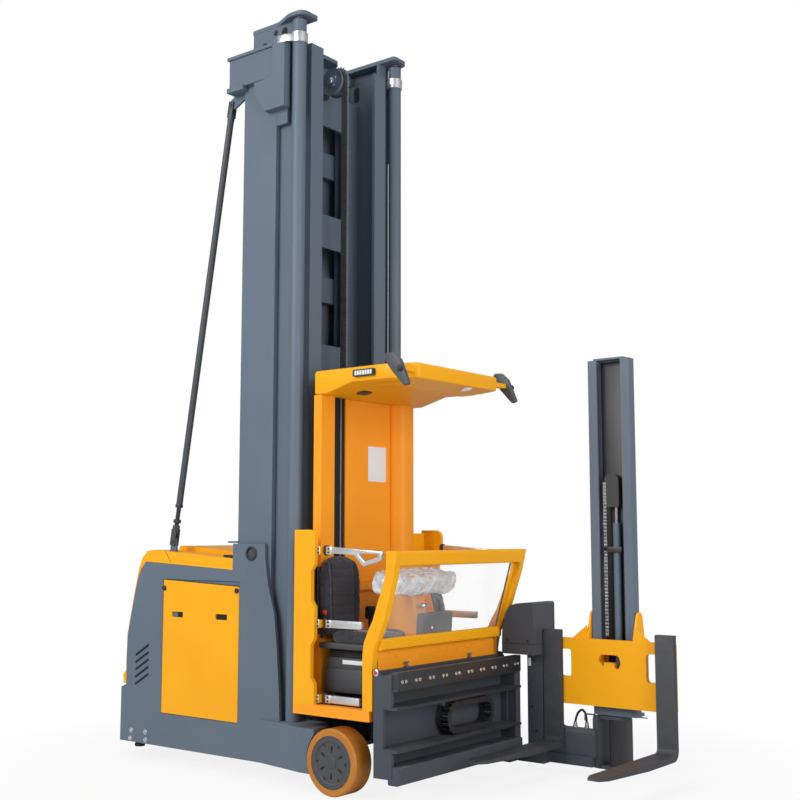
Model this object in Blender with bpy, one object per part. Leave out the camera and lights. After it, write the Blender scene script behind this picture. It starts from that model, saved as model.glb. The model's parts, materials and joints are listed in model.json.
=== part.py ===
"""Order picker truck with a rising cab and a swivelling fork head.

Metres, +Z up, +X towards the forks' end, +Y to the truck's left.
Every size below is in the truck's own frame: x = 0 on the load wheels' axle,
y = 0 on the centre line and z = 0 on the floor. The whole truck is then
hung on one empty that puts the middle of its footprint at the origin.
"""

import math

import bpy
from mathutils import Matrix, Vector

# Seam left between pieces that rest on each other
GAP = 0.0003

# Overall reach, used for the origin
REAR_X = -1.995
FRONT_X = 1.490
RIGHT_Y = -0.729
LEFT_Y = 0.955
ORIGIN = Vector(((REAR_X + FRONT_X) / 2, (RIGHT_Y + LEFT_Y) / 2, 0.0))

# Load wheels and their arms
WHEEL_R = 0.190
WHEEL_SIDES = 48
HUB_R = 0.150
WHEEL_OUT_Y = 0.665
WHEEL_WIDTH = 0.148
STUB_R = 0.036
ARM_IN_Y = 0.395
ARM_OUT_Y = 0.505
ARM_HALF_H = 0.075
LEG_TOP = 0.360

# Drive wheel under the tail
DRIVE_X = -1.705
DRIVE_R = 0.190
DRIVE_HALF_W = 0.060

# Chassis
BODY_Y = 0.560
BODY_Z = 0.100
BODY_TOP_REAR = 1.305
BODY_TOP_FRONT = 1.262
SKIN = 0.012
BAY_X0 = -1.450
BAY_X1 = -0.930
BAY_Z0 = 0.340
BAY_Z1 = 1.160
PANEL_X0 = -1.583
PANEL_X1 = -0.868
PANEL_Z0 = 0.318
PANEL_Z1 = 1.188
PANEL_DROP = 0.030
PANEL_T = 0.011

# Hood over the tail
HOOD_REAR_Z = 1.385
HOOD_FRONT_Z = 1.335
HOOD_X1 = -0.9315
LID_X0 = -1.660
LID_X1 = -0.990
LID_Y = 0.360
LID_RISE = 0.030
LID_PIVOT_Z = 1.384

# Mast
OUTER_X0 = -0.905
OUTER_X1 = -0.614
OUTER_Y = 0.536
OUTER_TOP = 4.640
MIDDLE_X0 = -0.872
MIDDLE_X1 = -0.508
MIDDLE_Y = 0.498
MIDDLE_TOP = 4.835
INNER_X0 = -0.812
INNER_X1 = -0.447
INNER_Y = 0.388
INNER_TOP = 4.700
MAST_Z = 0.130
MIDDLE_TRAVEL = 3.800
INNER_TRAVEL = 3.800
CAB_TRAVEL = 2.900
CYL_X = -0.450
CYL_Y = 0.500
CYL_R = 0.050
ROD_R = 0.030
CYL_TOP = 4.760
CAP_Z = 4.875

# Tie rods from the mast top to the tail
TIE_Y = 0.500
TIE_TOP = (-1.080, 4.390)
TIE_FOOT = (-1.540, 1.440)
TIE_R = 0.026

# Cab
FLOOR_Z0 = 0.440
FLOOR_Z1 = 0.500
CAB_X0 = -0.310
CAB_Y = 0.650
BACK_Y = 0.497
ROOF_X1 = 0.455
ROOF_Z0 = 2.400
ROOF_Z1 = 2.495
SIDE_TOP = 1.516
SIDE_X1 = -0.147
GATE_X = -0.110
GATE_Y = 0.588

# Front guard
GUARD_X = 0.482
GUARD_Y = 0.729
GUARD_TOP = 1.395
LOW_RAIL_Y = 0.620

# Traverse frame across the front
FRAME_Y = 0.645
FRAME_X0 = 0.300
FRAME_X1 = 0.430
FRAME_Z0 = 0.100
FRAME_Z1 = 0.723
TRAVERSE = 1.235

# Turret carriage, swivel and mast of the fork head
TURRET_Y0 = 0.700
TURRET_Y1 = 0.858
TURRET_X1 = 0.592
TURRET_Z0 = 0.050
TURRET_TOP = 1.045
HEAD_X = 1.045
HEAD_Y = 0.875
HEAD_HALF = 0.145
HEAD_Y0 = 0.800
HEAD_Y1 = 0.870
HEAD_Z0 = 0.3745
HEAD_TOP = 2.610
HEAD_LIFT = 1.440

# Forks
FORK_HALF_GAP = 0.385
FORK_W = 0.120
FORK_T = 0.040
SHANK_Y = 0.700
BLADE_TOP = 0.205
BLADE_TIP_Y = -0.160
PLATE_HALF = 0.432
PLATE_Z0 = 0.433
PLATE_Z1 = 0.840

# Colours, roughness and metallic value of each finish
FINISHES = {
    "yellow_paint": ((0.88, 0.45, 0.02), 0.42, 0.0),
    "slate_paint": ((0.11, 0.135, 0.165), 0.48, 0.0),
    "black_steel": ((0.022, 0.023, 0.026), 0.45, 0.0),
    "fork_steel": ((0.030, 0.033, 0.038), 0.40, 0.6),
    "bright_steel": ((0.62, 0.63, 0.64), 0.25, 1.0),
    "aluminium": ((0.70, 0.71, 0.72), 0.30, 1.0),
    "amber_tyre": ((0.62, 0.28, 0.03), 0.60, 0.0),
    "black_rubber": ((0.03, 0.03, 0.03), 0.85, 0.0),
    "black_plastic": ((0.025, 0.025, 0.028), 0.55, 0.0),
    "grey_plastic": ((0.13, 0.14, 0.15), 0.55, 0.0),
    "seat_cloth": ((0.045, 0.048, 0.075), 0.90, 0.0),
    "clear_sheet": ((0.80, 0.88, 0.90), 0.05, 0.0),
    "battery_case": ((0.09, 0.11, 0.14), 0.60, 0.0),
}

SIDES = (("right", -1), ("left", 1))


def clear_scene():
    for item in list(bpy.data.objects):
        bpy.data.objects.remove(item, do_unlink=True)
    for mesh in list(bpy.data.meshes):
        bpy.data.meshes.remove(mesh)


def finish_material(node, finish):
    colour, roughness, metallic = FINISHES[finish]
    material = bpy.data.materials.new(node)
    material.use_nodes = True
    shader = material.node_tree.nodes["Principled BSDF"]
    shader.inputs["Base Color"].default_value = (*colour, 1.0)
    shader.inputs["Roughness"].default_value = roughness
    shader.inputs["Metallic"].default_value = metallic
    return material


# Outlines

def arc(centre, radius, start, end, steps=6):
    """Points on an arc from the start angle to the end angle, in degrees."""
    points = []
    for step in range(steps + 1):
        angle = math.radians(start + (end - start) * step / steps)
        points.append((centre[0] + radius * math.cos(angle),
                       centre[1] + radius * math.sin(angle)))
    return points


def rounded(corners, steps=4):
    """Outline through (x, y, radius) corners, each rounded by its radius."""
    points = []
    count = len(corners)
    for index, (x, y, radius) in enumerate(corners):
        here = Vector((x, y))
        before = Vector(corners[index - 1][:2]) - here
        after = Vector(corners[(index + 1) % count][:2]) - here
        if radius <= 0:
            points.append((x, y))
            continue
        before.normalize()
        after.normalize()
        half = before.angle(after) / 2
        reach = radius / math.tan(half)
        first = here + before * reach
        last = here + after * reach
        centre = here + (before + after).normalized() * (radius / math.sin(half))
        start = first - centre
        turn = start.angle_signed(last - centre)
        for step in range(steps + 1):
            spoke = start.copy()
            spoke.rotate(Matrix.Rotation(-turn * step / steps, 2))
            points.append(tuple(centre + spoke))
    return points


def oblong(x0, y0, x1, y1, radius, steps=4):
    return rounded([(x0, y0, radius), (x1, y0, radius),
                    (x1, y1, radius), (x0, y1, radius)], steps)


# Solids. Each returns a loose object whose mesh is in the truck's frame.

def mesh_object(name, verts, faces):
    mesh = bpy.data.meshes.new(name)
    mesh.from_pydata(verts, [], faces)
    mesh.validate()
    mesh.update()
    item = bpy.data.objects.new(name, mesh)
    bpy.context.scene.collection.objects.link(item)
    return item


def along(axis, a, b, t):
    """Point with in-plane coordinates a, b and place t on the axis."""
    if axis == "X":
        return (t, a, b)
    if axis == "Y":
        return (a, t, b)
    return (a, b, t)


def area(outline):
    total = 0.0
    for (ax, ay), (bx, by) in zip(outline, outline[1:] + outline[:1]):
        total += ax * by - bx * ay
    return total / 2


def extrusion(axis, outline, low, high):
    """Prism of an outline. For X it is (y, z), for Y (x, z), for Z (x, y)."""
    outline = list(outline)
    flip = -1 if axis == "Y" else 1
    if area(outline) * flip < 0:
        outline.reverse()
    count = len(outline)
    verts = [along(axis, a, b, low) for a, b in outline]
    verts += [along(axis, a, b, high) for a, b in outline]
    faces = [list(range(count - 1, -1, -1)), list(range(count, 2 * count))]
    for index in range(count):
        after = (index + 1) % count
        faces.append([index, after, count + after, count + index])
    return mesh_object("prism", verts, faces)


def block(x0, x1, y0, y1, z0, z1):
    return extrusion("Z", [(x0, y0), (x1, y0), (x1, y1), (x0, y1)], z0, z1)


def side_block(side, x0, x1, y0, y1, z0, z1):
    """Block whose y range is measured outwards from the centre line."""
    low, high = sorted((side * y0, side * y1))
    return block(x0, x1, low, high, z0, z1)


def cylinder(axis, a, b, radius, low, high, sides=24):
    outline = arc((a, b), radius, -90, 270, sides)[:-1]
    return extrusion(axis, outline, low, high)


def turned(axis, a, b, profile, sides=24):
    """Closed ring or disc from (radius, place) points round an axis."""
    verts = []
    rings = []
    for radius, place in profile:
        if radius < 1e-6:
            rings.append([len(verts)])
            verts.append(along(axis, a, b, place))
            continue
        ring = []
        for p, q in arc((a, b), radius, -90, 270, sides)[:-1]:
            ring.append(len(verts))
            verts.append(along(axis, p, q, place))
        rings.append(ring)
    faces = []
    for ring, following in zip(rings, rings[1:] + rings[:1]):
        for index in range(sides):
            after = (index + 1) % sides
            if len(ring) == 1 and len(following) == 1:
                continue
            if len(ring) == 1:
                faces.append([ring[0], following[after], following[index]])
            elif len(following) == 1:
                faces.append([ring[index], ring[after], following[0]])
            else:
                faces.append([ring[index], ring[after],
                              following[after], following[index]])
    item = mesh_object("turned", verts, faces)
    outwards(item)
    return item


def rod(start, end, radius, sides=16):
    """Round bar between two points."""
    start = Vector(start)
    end = Vector(end)
    item = cylinder("Z", 0, 0, radius, 0, (end - start).length, sides)
    turn = (end - start).to_track_quat("Z", "Y").to_matrix().to_4x4()
    item.data.transform(Matrix.Translation(start) @ turn)
    return item


def outwards(item):
    import bmesh
    mesh = bmesh.new()
    mesh.from_mesh(item.data)
    bmesh.ops.remove_doubles(mesh, verts=mesh.verts, dist=1e-6)
    bmesh.ops.recalc_face_normals(mesh, faces=mesh.faces)
    mesh.to_mesh(item.data)
    mesh.free()


def combine(base, tools, operation):
    """Unite the base with, or cut it by, every tool, and drop the tools."""
    if not tools:
        return base
    group = bpy.data.collections.new("tools")
    bpy.context.scene.collection.children.link(group)
    for tool in tools:
        group.objects.link(tool)
    modifier = base.modifiers.new("shape", "BOOLEAN")
    modifier.operation = operation
    modifier.operand_type = "COLLECTION"
    modifier.collection = group
    modifier.solver = "EXACT"
    bpy.context.view_layer.update()
    graph = bpy.context.evaluated_depsgraph_get()
    mesh = bpy.data.meshes.new_from_object(base.evaluated_get(graph))
    base.modifiers.clear()
    base.data = mesh
    for tool in tools:
        bpy.data.objects.remove(tool, do_unlink=True)
    bpy.data.collections.remove(group)
    return base


def soften(item, width):
    """Chamfer the sharp edges of a solid for good."""
    edge = item.modifiers.new("edge", "BEVEL")
    edge.width = width
    edge.segments = 2
    edge.limit_method = "ANGLE"
    edge.angle_limit = math.radians(50)
    bpy.context.view_layer.update()
    graph = bpy.context.evaluated_depsgraph_get()
    mesh = bpy.data.meshes.new_from_object(item.evaluated_get(graph))
    item.modifiers.clear()
    item.data = mesh
    return item


def fuse(base, *tools):
    return combine(base, tools, "UNION")


def cut(base, *tools):
    return combine(base, tools, "DIFFERENCE")


# The tree of bodies

def pivot(name, parent, place):
    """Empty on a joint's axis, placed in the truck's frame."""
    empty = bpy.data.objects.new(name, None)
    bpy.context.scene.collection.objects.link(empty)
    empty["place"] = place
    if parent is None:
        empty.location = -ORIGIN
    else:
        empty.parent = parent
        empty.location = Vector(place) - Vector(parent["place"])
    return empty


def finish(name, item, body, finish_name, bevel=0.0, smooth=40):
    """Name a solid, put its origin on its body's pivot and give its finish."""
    item.name = name
    item.data.name = name
    item.data.transform(Matrix.Translation(-Vector(body["place"])))
    item.parent = body
    item.data.materials.clear()
    item.data.materials.append(finish_material(name, finish_name))
    if bevel:
        edge = item.modifiers.new("edge", "BEVEL")
        edge.width = bevel
        edge.segments = 1
        edge.limit_method = "ANGLE"
        edge.angle_limit = math.radians(50)
    item.data.shade_smooth()
    item.data.set_sharp_from_angle(angle=math.radians(smooth))
    return item


# Chassis

def body_outline(inset=0.0):
    """Side view of the tail, in (x, z)."""
    return [(REAR_X + inset, BODY_Z),
            (REAR_X + 0.050 + inset, 0.450),
            (REAR_X + 0.135 + inset, 1.050),
            (REAR_X + 0.190 + inset, BODY_TOP_REAR - 0.03),
            (REAR_X + 0.205 + inset, BODY_TOP_REAR),
            (-0.915, BODY_TOP_FRONT),
            (-0.915, BODY_Z)]


def cheek_outline():
    """Plate beside the mast foot with its curved front edge, in (x, z)."""
    return [(-0.930, BODY_Z),
            (-0.500, BODY_Z),
            (-0.500, 0.300),
            (-0.512, 0.520),
            (-0.535, 0.800),
            (-0.560, 1.000),
            (-0.600, 1.180),
            (-0.625, 1.330),
            (-0.632, 1.430),
            (-0.930, 1.430)]


def chassis_frame(body):
    frame = extrusion("Y", body_outline(), -BODY_Y, BODY_Y)
    tools = []
    for _, side in SIDES:
        low, high = sorted((side * (OUTER_Y + 0.003), side * BODY_Y))
        tools.append(extrusion("Y", cheek_outline(), low, high))
        leg = [(-0.930, 0.508), (-0.930, BODY_Y), (-0.700, BODY_Y),
               (-0.420, 0.610), (-0.262, 0.640), (-0.155, 0.640),
               (-0.155, ARM_OUT_Y), (-0.260, ARM_OUT_Y), (-0.260, ARM_IN_Y),
               (-0.500, ARM_IN_Y), (-0.500, 0.508)]
        leg = [(x, side * y) for x, y in leg]
        leg = extrusion("Z", leg, 0.080, LEG_TOP)
        low, high = sorted((side * (ARM_OUT_Y + 0.001), side * 0.700))
        cut(leg, cylinder("Y", 0.0, WHEEL_R, 0.207, low, high, WHEEL_SIDES))
        tools.append(leg)
        arm = [(-0.300, WHEEL_R - ARM_HALF_H), (-0.300, WHEEL_R + ARM_HALF_H)]
        arm += arc((0.0, WHEEL_R), ARM_HALF_H, 90, -90, 10)
        low, high = sorted((side * ARM_IN_Y, side * ARM_OUT_Y))
        tools.append(extrusion("Y", arm, low, high))
        low, high = sorted((side * (ARM_OUT_Y - 0.02), side * 0.630))
        tools.append(cylinder("Y", 0.0, WHEEL_R, STUB_R, low, high))
        lug = rounded([(-1.585, 1.250, 0), (-1.495, 1.250, 0),
                       (-1.515, 1.468, 0.02), (-1.565, 1.468, 0.02)])
        low, high = sorted((side * (TIE_Y - 0.008), side * (TIE_Y + 0.008)))
        tools.append(extrusion("Y", lug, low, high))
    tools.append(block(-0.930, -0.520, -0.520, 0.520, 0.085, MAST_Z - 0.002))
    fuse(frame, *tools)
    cuts = [block(BAY_X0, BAY_X1, -0.6, 0.6, BAY_Z0, BAY_Z1),
            extrusion("Y", [(-1.975, 0.0), (-1.475, 0.0), (-1.475, 1.220),
                            (-1.790, 1.220), (-1.835, 1.050), (-1.920, 0.450)],
                      -0.480, 0.480),
            block(-1.400, -1.000, -0.300, 0.300, 1.100, 1.350)]
    for _, side in SIDES:
        cuts.append(side_block(side, PANEL_X0 - 0.004, PANEL_X1 + 0.004,
                               BODY_Y - SKIN, BODY_Y + 0.01,
                               PANEL_Z0 - 0.004, PANEL_Z1 + 0.004))
        cuts.append(cylinder("Y", TIE_FOOT[0], TIE_FOOT[1], 0.0105,
                             side * TIE_Y - 0.05, side * TIE_Y + 0.05))
    cut(frame, *cuts)
    finish("chassis_frame", frame, body, "slate_paint")


def hood_outline(drop=0.0):
    """Side view of the hood, in (x, z)."""
    return [(REAR_X + 0.205 + drop, BODY_TOP_REAR + GAP),
            (REAR_X + 0.232 + drop, HOOD_REAR_Z - 0.030 - drop),
            (REAR_X + 0.290 + drop, HOOD_REAR_Z - drop),
            (HOOD_X1, HOOD_FRONT_Z - drop),
            (HOOD_X1, BODY_TOP_FRONT + 0.001 + GAP)]


def hood(body, lid_body):
    cover = extrusion("Y", hood_outline(), -BODY_Y + 0.002, BODY_Y - 0.002)
    cuts = [block(-1.400, -1.000, -0.300, 0.300, 1.2, 1.5)]
    for _, side in SIDES:
        cuts.append(side_block(side, -1.600, -1.480, TIE_Y - 0.012,
                               TIE_Y + 0.012, 1.2, 1.5))
    cut(cover, *cuts)
    finish("hood", cover, body, "yellow_paint", bevel=0.008)
    rise = LID_RISE
    slope = (HOOD_FRONT_Z - HOOD_REAR_Z) / (HOOD_X1 - REAR_X - 0.290)
    rear_z = HOOD_REAR_Z + slope * (LID_X0 - REAR_X - 0.290) + GAP
    front_z = HOOD_REAR_Z + slope * (LID_X1 - REAR_X - 0.290) + GAP
    outline = rounded([(LID_X0, rear_z, 0), (LID_X0, rear_z + rise, 0.015),
                       (LID_X1, front_z + rise, 0.015), (LID_X1, front_z, 0)])
    lid = extrusion("Y", outline, -LID_Y, LID_Y)
    finish("hood_lid", lid, lid_body, "yellow_paint")


def battery_and_panels(body):
    pack = block(BAY_X0 + 0.015, BAY_X1 - 0.015, -0.500, 0.500,
                 BAY_Z0 + GAP, 1.080)
    finish("battery", pack, body, "battery_case", bevel=0.01)
    for name, side in SIDES:
        outline = [(PANEL_X0, PANEL_Z0), (PANEL_X1, PANEL_Z0),
                   (PANEL_X1, PANEL_Z1 - PANEL_DROP), (PANEL_X0, PANEL_Z1)]
        low, high = sorted((side * (BODY_Y - SKIN + GAP),
                            side * (BODY_Y - SKIN + GAP + PANEL_T)))
        panel = extrusion("Y", outline, low, high)
        slots = []
        for x in (-1.480, -1.000):
            slot = oblong(x - 0.055, 0.900, x + 0.055, 0.940, 0.018)
            slots.append(extrusion("Y", slot, low - 0.05, high + 0.05))
        cut(panel, *slots)
        finish("battery_panel_" + name, panel, body, "yellow_paint")


def drive_unit(steer, spin):
    head = cylinder("Z", DRIVE_X, 0.0, 0.150, 0.480, 0.620, 32)
    motor = cylinder("Z", DRIVE_X, 0.0, 0.110, 0.600, 0.980, 24)
    cheeks = []
    for side in (-1, 1):
        outline = [(DRIVE_X - 0.110, 0.500), (DRIVE_X + 0.110, 0.500)]
        outline += arc((DRIVE_X, DRIVE_R), 0.060, 0, -180, 8)
        low, high = sorted((side * (DRIVE_HALF_W + 0.012),
                            side * (DRIVE_HALF_W + 0.042)))
        cheeks.append(extrusion("Y", outline, low, high))
    axle = cylinder("Y", DRIVE_X, DRIVE_R, 0.030, -0.090, 0.090)
    fuse(head, motor, axle, *cheeks)
    finish("drive_yoke", head, steer, "black_steel")
    w = DRIVE_HALF_W
    profile = [(0.0305, -w), (DRIVE_R - 0.008, -w), (DRIVE_R, -w + 0.010),
               (DRIVE_R, w - 0.010), (DRIVE_R - 0.008, w), (0.0305, w)]
    wheel = turned("Y", DRIVE_X, DRIVE_R, profile, WHEEL_SIDES)
    finish("drive_wheel", wheel, spin, "amber_tyre")


def load_wheel(name, side, body):
    y0 = WHEEL_OUT_Y - WHEEL_WIDTH
    y1 = WHEEL_OUT_Y
    tyre = [(HUB_R + GAP, y0), (WHEEL_R - 0.008, y0), (WHEEL_R, y0 + 0.010),
            (WHEEL_R, y1 - 0.010), (WHEEL_R - 0.008, y1), (HUB_R + GAP, y1)]
    tyre = [(r, side * y) for r, y in tyre]
    ring = turned("Y", 0.0, WHEEL_R, tyre, WHEEL_SIDES)
    finish("load_tyre_" + name, ring, body, "amber_tyre")
    hub = [(STUB_R + 0.0005, y0 + 0.004), (HUB_R, y0 + 0.004), (HUB_R, y1 - 0.004),
           (0.120, y1 - 0.002), (0.116, y1 - 0.008), (0.0, y1 - 0.008),
           (0.0, 0.632), (STUB_R + 0.0005, 0.632)]
    hub = [(r, side * y) for r, y in hub]
    disc = turned("Y", 0.0, WHEEL_R, hub, WHEEL_SIDES)
    finish("load_hub_" + name, disc, body, "grey_plastic")


# Mast

def channel(side, x0, x1, y_out, depth, wall, flange, z0, z1):
    """C rail seen from above, open towards the centre line."""
    y = [side * y_out, side * (y_out - wall), side * (y_out - depth)]
    outline = [(x0, y[0]), (x1, y[0]), (x1, y[2]), (x1 - flange, y[2]),
               (x1 - flange, y[1]), (x0 + flange, y[1]), (x0 + flange, y[2]),
               (x0, y[2])]
    return extrusion("Z", outline, z0, z1)


def cross_sheet(x0, x1, half_width, z0, z1, window_half, windows):
    """Upright sheet across a mast with rounded windows."""
    sheet = block(x0, x1, -half_width, half_width, z0, z1)
    cuts = []
    for low, high in windows:
        outline = oblong(-window_half, low, window_half, high, 0.060)
        cuts.append(extrusion("X", outline, x0 - 0.05, x1 + 0.05))
    return cut(sheet, *cuts)


def mast_outer(body):
    rails = []
    for _, side in SIDES:
        rails.append(channel(side, OUTER_X0, OUTER_X1, OUTER_Y, 0.033, 0.014,
                             0.022, LEG_TOP + GAP, OUTER_TOP))
        box = rounded([(-1.095, 4.480, 0.02), (-0.640, 4.480, 0),
                       (-0.640, 4.700, 0), (-1.095, 4.700, 0.02)])
        low, high = sorted((side * 0.435, side * 0.575))
        arm = extrusion("Y", box, low, high)
        cut(arm, side_block(side, -1.000, -0.480, 0.400, OUTER_Y - 0.014,
                            4.40, 4.80))
        rails.append(arm)
        plate = rounded([(-0.800, 4.240, 0.03), (-0.600, 4.240, 0.03),
                         (-0.600, 4.660, 0), (-0.800, 4.660, 0)])
        low, high = sorted((side * (OUTER_Y - 0.004), side * 0.575))
        rails.append(extrusion("Y", plate, low, high))
        lug = rounded([(-1.115, 4.360, 0.02), (-1.045, 4.360, 0.02),
                       (-1.035, 4.490, 0), (-1.090, 4.490, 0)])
        low, high = sorted((side * (TIE_Y - 0.008), side * (TIE_Y + 0.008)))
        rails.append(extrusion("Y", lug, low, high))
        rails.append(side_block(side, -0.660, -0.520, 0.512, 0.575, 4.640, 4.690))
    rear = cross_sheet(-0.950, -0.898, 0.530, 3.900, 4.690, 0.300,
                       [(4.020, 4.420)])
    rails.append(rear)
    for z0 in (0.420, 1.480, 2.380, 3.180):
        rails.append(block(-0.904, -0.879, -0.530, 0.530, z0, z0 + 0.160))
    frame = rails.pop(0)
    fuse(frame, *rails)
    pins = []
    for _, side in SIDES:
        pins.append(cylinder("Y", -0.690, 4.375, 0.016,
                             side * 0.500, side * 0.600))
        pins.append(cylinder("Y", TIE_TOP[0], TIE_TOP[1], 0.0105,
                             side * TIE_Y - 0.05, side * TIE_Y + 0.05))
    cut(frame, *pins)
    finish("mast_outer", frame, body, "slate_paint")


def tie_rod(name, side, body):
    top = Vector((TIE_TOP[0], side * TIE_Y, TIE_TOP[1]))
    foot = Vector((TIE_FOOT[0], side * TIE_Y, TIE_FOOT[1]))
    run = (top - foot).normalized()
    bar = rod(foot + run * 0.250, top - run * 0.070, TIE_R)
    screw = rod(foot + run * 0.060, foot + run * 0.270, 0.014)
    pieces = [screw]
    for end, way in ((top, -run), (foot, run)):
        for low in (-0.020, 0.0095):
            ear = block(low, low + 0.0105, -0.022, 0.022, -0.025, 0.085)
            turn = way.to_track_quat("Z", "Y").to_matrix().to_4x4()
            ear.data.transform(Matrix.Translation(end) @ turn)
            pieces.append(ear)
        neck = rod(end + way * 0.060, end + way * 0.110, 0.024)
        pieces.append(neck)
        pin = cylinder("Y", end.x, end.z, 0.0098, end.y - 0.028, end.y + 0.028, 16)
        pieces.append(pin)
    fuse(bar, *pieces)
    finish("tie_rod_" + name, bar, body, "slate_paint")


def lift_cylinder(name, side, body):
    z0 = LEG_TOP + GAP
    profile = [(ROD_R + 0.006, CYL_TOP), (CYL_R, CYL_TOP), (CYL_R, z0),
               (0.0, z0), (0.0, z0 + 0.050), (ROD_R + 0.006, z0 + 0.050)]
    barrel = turned("Z", CYL_X, side * CYL_Y, profile)
    finish("lift_cylinder_" + name, barrel, body, "slate_paint")


def mast_middle(body):
    rails = []
    for _, side in SIDES:
        rails.append(channel(side, MIDDLE_X0, MIDDLE_X1, MIDDLE_Y, 0.104, 0.016,
                             0.022, MAST_Z + 0.010, MIDDLE_TOP))
        cap = rounded([(-0.870, side * 0.395, 0), (-0.385, side * 0.430, 0.03),
                       (-0.385, side * 0.560, 0.04), (-0.640, side * 0.560, 0.06),
                       (-0.870, side * 0.498, 0)])
        rails.append(extrusion("Z", cap, MIDDLE_TOP - 0.010, CAP_Z - 0.0203))
        rails.append(cylinder("Z", CYL_X, side * CYL_Y, ROD_R, 0.700,
                              MIDDLE_TOP + 0.002, 16))
    for z0 in (0.200, 1.300, 2.200, 3.100, 4.000, 4.640):
        rails.append(block(-0.866, -0.822, -0.480, 0.480, z0, z0 + 0.180))
    frame = rails.pop(0)
    fuse(frame, *rails)
    finish("mast_middle", frame, body, "slate_paint")


def mast_inner(body):
    rails = []
    for _, side in SIDES:
        rails.append(channel(side, INNER_X0, INNER_X1, INNER_Y, 0.118, 0.016,
                             0.022, MAST_Z + 0.020, INNER_TOP))
    windows = [(0.700, 1.350), (1.650, 2.330), (2.620, 3.300), (3.580, 4.260)]
    rails.append(cross_sheet(-0.700, -0.680, 0.380, 0.400, 4.520, 0.235, windows))
    rails.append(block(-0.800, -0.460, -0.380, 0.380, INNER_TOP - 0.030,
                       INNER_TOP - 0.001))
    frame = rails.pop(0)
    fuse(frame, *rails)
    finish("mast_inner", frame, body, "slate_paint")


def lift_chain(body):
    """Chain wheel under the inner stage's top and the chain's front fall."""
    x, z, r = -0.545, 4.560, 0.080
    wheel = turned("Y", x, z, [(0.0, -0.075), (r + 0.012, -0.075), (r, -0.062),
                               (r, 0.002), (r + 0.012, 0.015), (0.0, 0.015)])
    fall = block(x + r - 0.004, x + r + 0.014, -0.058, -0.002, 1.300, z)
    hanger = block(x - 0.015, x + 0.015, -0.045, -0.015, z,
                   INNER_TOP - 0.030 - GAP)
    fuse(wheel, fall, hanger)
    finish("lift_chain", wheel, body, "black_steel")


# Cab

def cab_floor(body):
    deck = block(CAB_X0, 0.270, -CAB_Y, CAB_Y, FLOOR_Z0, FLOOR_Z1)
    toe = block(0.262, 0.290, -0.595, 0.595, FLOOR_Z0, 0.870)
    fuse(deck, toe)
    finish("cab_floor", deck, body, "yellow_paint")


def cab_back(body):
    z0 = FLOOR_Z1 + GAP
    z1 = ROOF_Z0 - GAP
    wall = block(-0.300, -0.285, -0.300, 0.300, z0, z1)
    pillar = block(-0.300, -0.236, -BACK_Y, -0.375, z0, z1)
    column = rounded([(-0.300, 0.240, 0), (-0.300, BACK_Y, 0),
                      (-0.236, BACK_Y, 0.02), (-0.200, 0.440, 0.05),
                      (-0.205, 0.300, 0.05), (-0.270, 0.240, 0.02)])
    column = extrusion("Z", column, z0, z1)
    pieces = [pillar, column,
              block(-0.300, -0.270, -BACK_Y, BACK_Y, z0, 0.640),
              block(-0.300, -0.270, -BACK_Y, BACK_Y, 2.300, z1)]
    for _, side in SIDES:
        outline = rounded([(-0.640, 0.520, 0.04), (-0.330, 0.520, 0),
                           (-0.330, 1.480, 0), (-0.640, 1.480, 0.04)])
        low, high = sorted((side * 0.225, side * 0.255))
        pieces.append(extrusion("Y", outline, low, high))
    pieces.append(block(-0.350, -0.297, -0.480, 0.480, 0.520, 0.760))
    pieces.append(block(-0.350, -0.297, -0.480, 0.480, 1.240, 1.480))
    fuse(wall, *pieces)
    finish("cab_back", wall, body, "yellow_paint")


def cab_roof(body):
    outline = rounded([(CAB_X0 + 0.008, -0.500, 0.02), (0.270, -0.500, 0.05),
                       (ROOF_X1, -0.420, 0.04), (ROOF_X1, 0.420, 0.04),
                       (0.270, 0.500, 0.05), (CAB_X0 + 0.008, 0.500, 0.02)])
    roof = extrusion("Z", outline, ROOF_Z0, ROOF_Z1)
    soften(roof, 0.018)
    grips = []
    for _, side in SIDES:
        outline = rounded([(0.300, 2.380, 0.02), (0.470, 2.340, 0.03),
                           (0.450, 2.420, 0.03), (0.330, 2.540, 0.03),
                           (0.250, 2.540, 0.03)])
        low, high = sorted((side * 0.470, side * 0.535))
        grips.append(extrusion("Y", outline, low, high))
    fuse(roof, *grips)
    finish("cab_roof", roof, body, "yellow_paint")


def cab_side(name, side, body):
    z0 = FLOOR_Z1 + GAP
    outline = rounded([(CAB_X0, z0, 0), (SIDE_X1, z0, 0),
                       (SIDE_X1, SIDE_TOP, 0.05), (CAB_X0, SIDE_TOP, 0)])
    low, high = sorted((side * 0.622, side * CAB_Y))
    panel = extrusion("Y", outline, low, high)
    back = side_block(side, CAB_X0, CAB_X0 + 0.022, BACK_Y + GAP, CAB_Y - 0.001,
                      z0, SIDE_TOP - 0.020)
    leaf = side_block(side, SIDE_X1 - 0.030, -0.070, 0.608, 0.624,
                      z0, SIDE_TOP - 0.060)
    fuse(panel, back, leaf)
    finish("cab_side_" + name, panel, body, "yellow_paint")


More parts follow.
